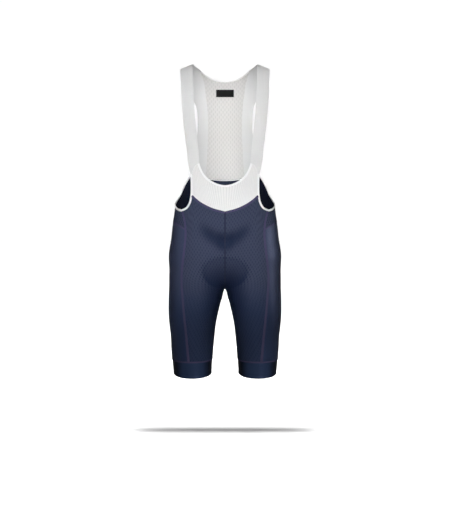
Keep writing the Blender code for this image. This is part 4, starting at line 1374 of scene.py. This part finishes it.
def add(tree, work, *inputs, output="", **settings):
    """Adds a node with its settings, and gives its output of that name, or else its first.

    The inputs are for its sockets in their order, or for those that a dictionary names. Another node's output
    is linked, and anything else is set.
    """
    kind, usual = WORK.get(work, (work, {}))
    node = tree.nodes.new(f"ShaderNode{kind}")
    for name, value in {**usual, **settings}.items():
        setattr(node, name, value)
    if inputs and isinstance(inputs[0], dict):
        wanted = [(node.inputs[name], value) for name, value in inputs[0].items()]
    else:
        wanted = zip([socket for socket in node.inputs if socket.enabled], inputs)
    for socket, value in wanted:
        if isinstance(value, bpy.types.NodeSocket):
            tree.links.new(value, socket)
        else:
            socket.default_value = value
    outputs = [socket for socket in node.outputs if socket.enabled and output in ("", socket.name)]
    return outputs[0] if outputs else None


def wave(tree, length, pitch):
    """cos(2 pi length / pitch)."""
    return add(tree, "cosine", add(tree, "times", length, 2 * np.pi / pitch))


def lattice(tree, across, along, pitch, step):
    """The product of a wave across and a wave along: high in staggered spots."""
    return add(tree, "times", wave(tree, across, pitch), wave(tree, along, step))


def on_garment(tree, direction):
    """How far across (X) or up (Z) a place is, from the middle and from the top of the shoulders."""
    return add(tree, "SeparateXYZ", add(tree, "TexCoord", output="Object"), output=direction)


def below_shoulders(tree):
    """How far down the garment a place is."""
    return add(tree, "times", on_garment(tree, "Z"), -1.0)


def tinted(tree, colour, where, share, other):
    """The colour, turned by this share into another where a mask is 1."""
    return add(tree, "blend", add(tree, "times", where, share), colour, linear(other))


def new_material(name):
    """A material and its tree, empty."""
    material = bpy.data.materials.new(name)
    material.use_nodes = True
    material.node_tree.nodes.clear()
    return material, material.node_tree


def new_cloth(name):
    """A material and its tree, with the cut's across and along, in metres."""
    material, tree = new_material(name)
    cut = add(tree, "UVMap", uv_map="cut")
    across, along = (add(tree, "SeparateXYZ", cut, output=direction) for direction in "XY")
    return material, tree, across, along


def finish_cloth(tree, colour, height, roughness, specular, sheen, tint="#FFFFFF"):
    """The surface: its colour, its relief in millimetres, and how it shines."""
    surface = add(
        tree,
        "BsdfPrincipled",
        {
            "Base Color": colour,
            "Roughness": roughness,
            "Specular IOR Level": specular,
            "Sheen Weight": sheen,
            "Specular Tint": linear(tint),
            "Normal": add(tree, "Bump", {"Height": height, "Distance": 0.001, "Strength": 1.0}),
        },
    )
    add(tree, "OutputMaterial", surface)


def shaded_inside(tree, colour, dark_colour, begins, ends, share, side_share):
    """Painted shade on the inner skin of the cloth, darker still away from the middle, where less light gets
    in.
    """
    from_middle = add(tree, "size", on_garment(tree, "X"))
    aside = add(tree, "times", add(tree, "soft step", from_middle, begins, ends), side_share)
    inside = add(tree, "Attribute", attribute_name="inside", output="Fac")
    return tinted(tree, colour, inside, add(tree, "plus", aside, share), dark_colour)


def staggered(tree, across, along):
    """The knit's staggered dimples."""
    return add(tree, "soft step", lattice(tree, across, along, DIMPLE_ACROSS, DIMPLE_ALONG), *DIMPLE_MASK)


def folded(tree, colour):
    """Painted shade in the creases: the knit is darkened as deep as the crease sinks it."""
    fold = add(tree, "Attribute", attribute_name="fold", output="Fac")
    return tinted(tree, colour, fold, FOLD_SHADE_SHARE, NAVY_FOLD_SHADE_AND_THREAD_GAP)


def shaded_down_the_leg(tree, colour):
    """Painted shade: the knit is darkened from the thigh down, as the light falls off lower on the garment.
    """
    below = add(tree, "soft step", below_shoulders(tree), LEG_TOP, LEG_DARKEST)
    return tinted(tree, colour, below, LEG_SHADE_SHARE, LEG_SHADE_NAVY)


def fork_shade(tree, down):
    """Painted shade high on the inner thighs, beside the fork between the legs: the share by which the knit
    is darkened there.
    """
    aside = add(tree, "soft step", add(tree, "size", on_garment(tree, "X")), *FORK_ASIDE_MASK)
    near = add(tree, "minus", 1.0, aside)
    above = add(tree, "minus", 1.0, add(tree, "soft step", down, *FORK_END_MASK))
    below = add(tree, "soft step", down, *FORK_START_MASK)
    reach = add(tree, "times", add(tree, "times", near, above), below)
    return add(tree, "times", reach, FORK_SHADE_SHARE)


def dimpled_knit():
    """Staggered dimples in a matt knit, each a shade darker, as its floor faces less light.

    Where the pad backs the cloth it is darker, partly from the pad behind the knit and partly painted shade,
    which deepens towards the crotch; the pad's edge shows as a row of darker dimples.
    """
    material, tree, across, along = new_cloth("Navy dimpled knit")
    dimple = staggered(tree, across, along)
    inside_pad = add(tree, "Attribute", attribute_name="inside_pad", output="Fac")
    down = below_shoulders(tree)
    # painted shade, deepening down towards the crotch
    crotch = add(tree, "times", add(tree, "soft step", down, CROTCH_FROM, CROTCH_TO), CROTCH_SHADE_SHARE)
    backed_and_shade = add(tree, "soft step", inside_pad, PAD_DARK_FROM, PAD_DARK_WITHIN)
    backed_and_shade = add(tree, "times", backed_and_shade, add(tree, "plus", crotch, BACKED_AND_SHADE_SHARE))
    near = add(tree, "soft step", inside_pad, -PAD_EDGE_SOFTNESS, 0.0)
    past = add(tree, "soft step", inside_pad, *PAD_EDGE_END_MASK)
    at_edge = add(tree, "times", near, add(tree, "minus", 1.0, past))
    stitched = add(tree, "times", add(tree, "times", at_edge, PAD_EDGE_SHARE), dimple)
    colour = tinted(tree, linear(NAVY), dimple, DIMPLE_SHARE, NAVY_DIMPLE)
    # the pad behind and painted shade at the crotch and beside the fork, then the pad edge's stitched dimples
    for share in (add(tree, "larger", backed_and_shade, fork_shade(tree, down)), stitched):
        colour = add(tree, "blend", share, colour, linear(NAVY_BACKED_AND_SHADE))
    colour = shaded_inside(tree, shaded_down_the_leg(tree, folded(tree, colour)), INSIDE_SHADE_NAVY, *NAVY_INSIDE_SHADE)
    stitches = add(tree, "times", lattice(tree, across, along, KNIT_COLUMN, KNIT_ROW), KNIT_RELIEF_MM)
    height = add(tree, "plus", add(tree, "times", dimple, -DIMPLE_DEPTH_MM), stitches)
    finish_cloth(tree, colour, height, *DIMPLED_SHINE, NAVY_SHINE)
    return material


def shaded_at_cuff_sides(tree, colour, share):
    """Painted shade: a band is darkened where it turns away to either side of the leg, and its middle is left
    lighter.
    """
    from_middle = add(tree, "size", on_garment(tree, "X"))
    aside = add(tree, "size", add(tree, "minus", from_middle, CUFF_SHINE_X))
    dark = add(tree, "soft step", aside, CUFF_DARK_FROM, CUFF_DARK_TO)
    return tinted(tree, colour, dark, share, CUFF_SIDE_SHADE_NAVY)


def smooth_knit(name, cloth_colour, dimple_share, relief, shine, cuff_share=0.0):
    """A close smooth knit with a soft shine along its fine upright columns, which gives long highlights.

    The dimples are there too, only fainter.
    """
    material, tree, across, along = new_cloth(name)
    stitches = lattice(tree, across, along, KNIT_COLUMN, KNIT_ROW)
    slant = wave(tree, add(tree, "plus", across, along), TWILL_PITCH)
    height = add(tree, "times", add(tree, "plus", stitches, slant), relief)
    dimple = staggered(tree, across, along)
    colour = tinted(tree, linear(cloth_colour), dimple, dimple_share, NAVY_DIMPLE)
    colour = shaded_at_cuff_sides(tree, shaded_down_the_leg(tree, folded(tree, colour)), cuff_share)
    colour = shaded_inside(tree, colour, INSIDE_SHADE_NAVY, *NAVY_INSIDE_SHADE)
    finish_cloth(tree, colour, height, *shine, NAVY_SHINE)
    return material


def ribbed_mesh():
    """White ribbed mesh: painted shade greys the grooves between the ribs, and the pinholes that run down
    them more.
    """
    material, tree, across, along = new_cloth("White ribbed mesh")
    between = add(tree, "times", wave(tree, across, RIB_PITCH), -1.0)
    groove = add(tree, "soft step", between, *RIB_GROOVE_MASK)
    pinhole = add(tree, "times", groove, wave(tree, along, PINHOLE_STEP))
    pinhole = add(tree, "soft step", pinhole, *PINHOLE_MASK)
    colour = tinted(tree, linear(BIB_WHITE), groove, RIB_GROOVE_SHADE_SHARE, BIB_GROOVE_SHADE)
    colour = tinted(tree, colour, pinhole, PINHOLE_SHADE_SHARE, BIB_PINHOLE_SHADE)
    finish_cloth(tree, colour, add(tree, "times", pinhole, -PINHOLE_DEPTH_MM), *RIBBED_SHINE)
    return material


def open_mesh():
    """White openwork knit: staggered upright openings are greyer, with the painted shade of the dim side
    behind that shows through.
    """
    material, tree, across, along = new_cloth("White open mesh")
    over, up = wave(tree, across, SLIT_PITCH), wave(tree, along, SLIT_STEP)
    rows = []
    for sign in (1.0, -1.0):
        column = add(tree, "soft step", add(tree, "times", over, sign), *OPENING_ACROSS_MASK)
        dash = add(tree, "soft step", add(tree, "times", up, sign), *OPENING_ALONG_MASK)
        rows.append(add(tree, "times", column, dash))
    colour = tinted(tree, linear(MESH_WHITE), add(tree, "larger", *rows), OPENING_SHADE_SHARE, MESH_OPENING_SHADE)
    colour = shaded_inside(tree, colour, INSIDE_SHADE_WHITE, *WHITE_INSIDE_SHADE)
    stitches = wave(tree, across, MESH_STITCH)
    finish_cloth(tree, colour, add(tree, "times", stitches, MESH_RELIEF_MM), *MESH_SHINE)
    return material


def elastic():
    """Light grey elastic: fine lengthwise ribs with painted shade in the grooves between them, closely knit,
    with a faint silky shine.

    Near the top of the shoulders the painted shade on its inner skin is lighter, as more light gets in there.
    """
    material, tree, across, along = new_cloth("Light grey elastic")
    ribs = wave(tree, across, ELASTIC_RIB)
    picks = add(tree, "times", wave(tree, along, KNIT_ROW), ELASTIC_PICK_MM)
    height = add(tree, "plus", add(tree, "times", ribs, ELASTIC_RIB_MM), picks)
    # painted shade greys the grooves between the ribs
    groove = add(tree, "soft step", add(tree, "times", ribs, -1.0), 0.0, 1.0)
    colour = tinted(tree, linear(STRAP_GREY), groove, ELASTIC_GROOVE_SHADE_SHARE, STRAP_GROOVE_SHADE)
    near_top = add(tree, "soft step", on_garment(tree, "Z"), *STRAP_TOP_MASK)
    lower = add(tree, "minus", 1.0, add(tree, "times", near_top, STRAP_TOP_SHARE))
    begins, ends, *shares = WHITE_INSIDE_SHADE
    shares = [add(tree, "times", lower, share) for share in shares]
    colour = shaded_inside(tree, colour, INSIDE_SHADE_WHITE, begins, ends, *shares)
    finish_cloth(tree, colour, height, *ELASTIC_SHINE)
    return material


def binding_tape():
    """Bright white tape with fine ribs across it, a little shinier than the mesh, so edges read crisp."""
    material, tree, _, along = new_cloth("White binding tape")
    ribs = add(tree, "times", wave(tree, along, TAPE_RIB), TAPE_RIB_MM)
    finish_cloth(tree, linear(TAPE_WHITE), ribs, *TAPE_SHINE)
    return material


def flatlock_thread(name, thread_colour, gap_colour):
    """Thread laid in a ladder across the seam, with a cover thread zigzagging over it."""
    material, tree, across, along = new_cloth(name)
    slant = add(tree, "plus", along, add(tree, "times", across, ZIGZAG_SLANT))
    both_threads = add(tree, "larger", wave(tree, along, STITCH), wave(tree, slant, ZIGZAG_STEP))
    thread = add(tree, "soft step", both_threads, *THREAD_MASK)
    colour = add(tree, "blend", thread, linear(gap_colour), linear(thread_colour))
    finish_cloth(tree, colour, add(tree, "times", thread, THREAD_MM), *THREAD_SHINE)
    return material


def chamois():
    """Brushed grey microfibre over foam: matt and slightly mottled, so the pad reads soft."""
    material, tree, _, _ = new_cloth("Grey brushed microfibre")
    place = add(tree, "TexCoord", output="Object")
    mottle = add(tree, "TexNoise", {"Vector": place, "Scale": MOTTLE_SCALE, "Detail": 2.0})
    colour = add(tree, "blend", mottle, linear(PAD_GREY), linear(PAD_PALE))
    finish_cloth(tree, colour, add(tree, "times", mottle, MOTTLE_MM), *PAD_SHINE)
    return material


def woven_label():
    """Plain black satin label: close ribs along it, and a stitched border a shade lighter all round."""
    material, tree, across, along = new_cloth("Black woven label")
    to_side = add(tree, "minus", LABEL_WIDTH / 2, add(tree, "size", across))
    to_end = add(tree, "minus", LABEL_HEIGHT / 2, add(tree, "size", along))
    inner = add(tree, "soft step", add(tree, "smaller", to_side, to_end), *LABEL_BORDER_MASK)
    border = add(tree, "minus", 1.0, inner)
    colour = tinted(tree, linear(LABEL_BLACK), border, LABEL_BORDER_SHARE, LABEL_THREAD)
    finish_cloth(tree, colour, add(tree, "times", wave(tree, along, LABEL_RIB), LABEL_RIB_MM), *LABEL_SHINE)
    return material


# ---------------------------------------------------------------- the garment


def panel_pieces(grids):
    """The knit panels of the shorts."""
    dimpled = dimpled_knit()
    smooth = smooth_knit("Navy smooth knit", SIDE_NAVY, SIDE_DIMPLE_SHARE, SIDE_RELIEF_MM, SIDE_SHINE)
    for name, material, slot, in_middle, above in (
        ("front_panel", dimpled, "navy_dimpled_knit", True, ["front_bib_mesh"]),
        ("back_panel", dimpled, "navy_dimpled_knit", True, ["back_mesh_cloth", "strap_{}_band"]),
        ("hip_panel", dimpled, "navy_dimpled_knit", False, ["front_panel_{}_cloth"]),
        ("side_panel", smooth, "navy_smooth_knit", False, ["front_panel_{}_cloth"]),
    ):
        grid = finer(grids[name], PANEL_FINE, PANEL_FINE)
        if in_middle:  # no point of a half passes the middle of the body
            grid[..., 0] = np.maximum(grid[..., 0], 0)
        panel(name, grid, material, slot, in_middle)


def bindings_and_straps(seams):
    """The tapes round the scoop, the neck and the armholes, and the straps, which start past their ends."""
    armhole = joined(seams["beside_bib"], seams["horn"], seams["under_arm"], seams["up_back"])
    scoop = joined(seams["scoop"], mirrored(seams["scoop"])[::-1])
    neck = whole(seams["neck"])
    armhole_start, armhole_end = beyond(armhole, BINDING_WIDTH)
    scoop_end, _ = beyond(scoop, BINDING_WIDTH)
    _, neck_end = beyond(neck, NECK_BINDING_WIDTH)
    strap_pieces(seams, (armhole_start, armhole_end, scoop_end, neck_end), elastic())
    tape_cloth = binding_tape()
    for side, sign in SIDES:
        under = ["front_bib_mesh", *(f"{name}_panel_{side}_cloth" for name in ("front", "hip", "back"))]
        edge = finer_curve(armhole) * vector(sign, 1, 1)
        names = f"armhole_{side}_tape", f"armhole_binding_{side}"
        binding_piece(*names, edge, BINDING_WIDTH, tape_cloth, under, TAPE_NARROWING)
    for name, edge, width, under in (
        ("scoop", scoop, BINDING_WIDTH, "front_bib_mesh"),
        ("neck", neck, NECK_BINDING_WIDTH, "back_mesh_cloth"),
    ):
        binding_piece(f"{name}_tape", f"{name}_binding", finer_curve(edge), width, tape_cloth, [under])


def stitching(seams, ring):
    """The thread of the seams. The centre seam's is dark, and the white one's is where the straps are sewn on
    and inside the back."""
    navy_thread = flatlock_thread("Purple grey flatlock thread", THREAD, THREAD_GAP)
    dark_thread = flatlock_thread("Dark navy flatlock thread", DARK_THREAD, NAVY_FOLD_SHADE_AND_THREAD_GAP)
    white_thread = flatlock_thread("White flatlock thread", TAPE_WHITE, STRAP_GREY)
    middle = joined(finer_curve(seams["front_middle"]), finer_curve(seams["back_middle"])[::-1])
    centre_line = [stitch_strip(middle, CENTRE_STITCH_WIDTH)]
    add_piece("centre_stitching", centre_line, dark_thread, "navy_dimpled_knit")
    front_seam = joined(seams["front_princess"], seams["front_leg"])
    back_seam = joined(seams["back_princess"], seams["back_leg"])
    across_back = whole(joined(seams["back"], seams["back_band"]))
    for name, paths, width, shift in (
        ("princess", [front_seam, back_seam], FLATLOCK_WIDTH, 0.0),
        ("hip", [seams["hip"]], FINE_FLATLOCK_WIDTH, 0.0),
        ("inseam", [seams["inseam"]], FINE_FLATLOCK_WIDTH, 0.0),
        ("bib", [whole(seams["v"])], V_STITCH_WIDTH, V_STITCH_SHIFT),
        ("back", [across_back], V_STITCH_WIDTH, V_STITCH_SHIFT),
    ):
        strips = [stitch_strip(finer_curve(path), width, shift) for path in paths]
        if not shift:  # those that are shifted run across the whole body
            strips = both(strips)
        add_piece(f"{name}_stitching", strips, navy_thread, "navy_dimpled_knit")
    cuff_line = both([stitch_strip(ring, CUFF_STITCH_WIDTH, ring=True)])
    add_piece("cuff_stitching", cuff_line, navy_thread, "navy_dimpled_knit")
    path = finer_curve(whole(seams["back"]))
    inside_line = stitch_strip(path, INSIDE_STITCH_WIDTH, INSIDE_STITCH_SHIFT, INSIDE_STITCH_UNDER)
    add_piece("back_inside_stitching", [inside_line], white_thread, "white_binding_tape")
    strap_line = both([stitch_strip(finer_curve(seams["strap"]), STRAP_STITCH_WIDTH)])
    add_piece("strap_stitching", strap_line, white_thread, "white_binding_tape")


def build_garment():
    """Every piece, from the seams of one half."""
    seams = make_seams()
    grids = lower_grids(seams)
    band = smooth_knit("Navy gripper band", BAND_NAVY, 0.0, BAND_RELIEF_MM, BAND_SHINE, CUFF_SIDE_SHADE_SHARE)
    panel_pieces(grids)
    cuff_pieces(grids["cuff_seam"], band)
    bib_piece(seams, ribbed_mesh())
    back_mesh_piece(seams, open_mesh())
    bindings_and_straps(seams)
    stitching(seams, cuff_grid(grids["cuff_seam"], 1, CUFF_FINE_COLUMNS)[-1])
    pad_piece(chamois())
    label_piece(woven_label())


# ---------------------------------------------------------------- camera, floor and light


def aimed(thing, place, target):
    """Puts a lamp or the camera at a place, looking at a target."""
    made = bpy.data.objects.new(thing.name, thing)
    bpy.context.collection.objects.link(made)
    place, target = np.array(place, float), np.array(target, float)
    back = unit(place - target)
    right = unit(np.cross(ALMOST_UP, back))
    up = np.cross(back, right)
    turned = np.eye(4)
    turned[:3] = np.stack([right, up, back, place], axis=1)
    made.matrix_world = Matrix(turned.tolist())
    return made


def pale_surface(name, colour, near_glow, far_glow):
    """A matt surface that glows a little, and more further out, so that it reads as an even pale sweep."""
    material, tree = new_material(name)
    place = add(tree, "TexCoord", output="Object")
    flat = add(tree, "VectorMath", place, (1.0, 1.0, 0.0), operation="MULTIPLY")
    distance = add(tree, "VectorMath", flat, operation="LENGTH")
    far = add(tree, "soft step", distance, SWEEP_START, SWEEP_END)
    glow = add(tree, "plus", near_glow, add(tree, "times", far, far_glow - near_glow))
    surface = add(
        tree,
        "BsdfPrincipled",
        {
            "Base Color": linear(colour),
            "Roughness": 1.0,
            "Specular IOR Level": 0.0,
            "Emission Color": linear("#FFFFFF"),
            "Emission Strength": glow,
        },
    )
    add(tree, "OutputMaterial", surface)
    return material


def staged(name, points, faces, material, hidden_from):
    """A mesh of the stage, which these kinds of light ray don't see."""
    mesh = bpy.data.meshes.new(name)
    mesh.from_pydata(points.tolist(), [], faces)
    mesh.materials.append(material)
    made = bpy.data.objects.new(name, mesh)
    bpy.context.collection.objects.link(made)
    for ray in hidden_from:
        setattr(made, f"visible_{ray}", False)
    return made


def shadow_card():
    """A narrow card that the camera can't see, under the garment: it gives the floor one soft narrow shadow,
    where a hollow garment would give only the lines of its walls. Its outline is a superellipse."""
    turn = np.linspace(0, 2 * np.pi, CARD_SIDES, endpoint=False)
    x = squared_off(np.cos(turn), CARD_POWER) * CARD_HALF_WIDTH
    y = squared_off(np.sin(turn), CARD_POWER) * CARD_HALF_DEPTH + CARD_Y
    black = pale_surface("Black card", "#000000", 0.0, 0.0)
    unseen = ("camera", "diffuse", "glossy", "transmission")
    return staged("shadow_card", vector(x, y, CARD_Z), [list(range(CARD_SIDES))], black, unseen)


def pale_floor():
    """A wide square floor below the garment."""
    corners = vector([-1, 1, 1, -1], [-1, -1, 1, 1], 0) * STAGE_RADIUS + vector(0, 0, FLOOR_Z)
    pale = pale_surface("Pale floor", "#F4F4F4", FLOOR_GLOW, 1.0)
    return staged("floor", corners, [(0, 1, 2, 3)], pale, ("diffuse", "glossy", "shadow"))


def pale_dome():
    """A glowing half sphere round the stage: rings of points, closed at the top by one many-sided face."""
    turn = np.linspace(0, 2 * np.pi, DOME_SIDES, endpoint=False)[None, :]
    rise = np.linspace(0, np.pi / 2 - DOME_TOP, DOME_RINGS)[:, None]
    wall = vector(np.cos(rise) * np.cos(turn), np.cos(rise) * np.sin(turn), np.sin(rise))
    number = np.arange(DOME_RINGS * DOME_SIDES).reshape(DOME_RINGS, DOME_SIDES)
    after = np.roll(number, -1, axis=1)
    faces = np.stack([number[:-1], number[1:], after[1:], after[:-1]], axis=-1).reshape(-1, 4)
    faces = faces.tolist() + [number[-1].tolist()]
    points = wall.reshape(-1, 3) * STAGE_RADIUS * DOME_SHARE + [0, 0, FLOOR_Z]
    pale = pale_surface("Pale backdrop", "#000000", DOME_GLOW, DOME_GLOW)
    return staged("backdrop", points, faces, pale, ("diffuse", "glossy", "shadow"))


def group(name, things):
    """A collection of these objects, for a lamp to light or to be blocked by."""
    made = bpy.data.collections.new(name)
    for thing in things:
        made.objects.link(thing)
    return made


def stage_and_light():
    """A pale floor below the garment, a pale dome far round it, and soft lamps in front, behind and above."""
    pieces = bpy.context.collection.objects[:]
    floor, dome, card = pale_floor(), pale_dome(), shadow_card()

    garment_only = group("garment only", pieces)
    not_straps = [piece for piece in pieces if not piece.name.startswith("strap_")]
    without_straps = group("garment without its straps", [*not_straps, card])
    floor_only = group("floor only", [floor])
    card_only = group("shadow card only", [card])
    lit_and_blocking = {
        "all": (None, without_straps),
        "shine": (None, None),
        "garment": (garment_only, None),
        "floor": (floor_only, card_only),
    }
    for name, place, target, size, power, spread_angle, lights in LAMPS:
        lamp = bpy.data.lights.new(name, "AREA")
        lamp.shape = "RECTANGLE"
        lamp.size, lamp.size_y = size
        lamp.energy = power
        lamp.spread = np.radians(spread_angle)
        hung = aimed(lamp, place, target)
        hung.visible_camera = False
        hung.visible_diffuse = lights != "shine"
        hung.light_linking.receiver_collection = lit_and_blocking[lights][0]
        hung.light_linking.blocker_collection = lit_and_blocking[lights][1]
    scene = bpy.context.scene
    scene.world = bpy.data.worlds.new("soft light")
    scene.world.use_nodes = True
    background = scene.world.node_tree.nodes["Background"]
    background.inputs["Color"].default_value = linear("#FFFFFF")
    background.inputs["Strength"].default_value = WORLD_LIGHT
    scene.view_settings.view_transform = "Standard"

    view = bpy.data.cameras.new("camera")
    view.lens = LENS
    view.sensor_fit = "VERTICAL"
    view.sensor_height = SENSOR
    view.clip_end = 4 * STAGE_RADIUS
    scene.camera = aimed(view, CAMERA_PLACE, CAMERA_TARGET)


build_garment()
stage_and_light()
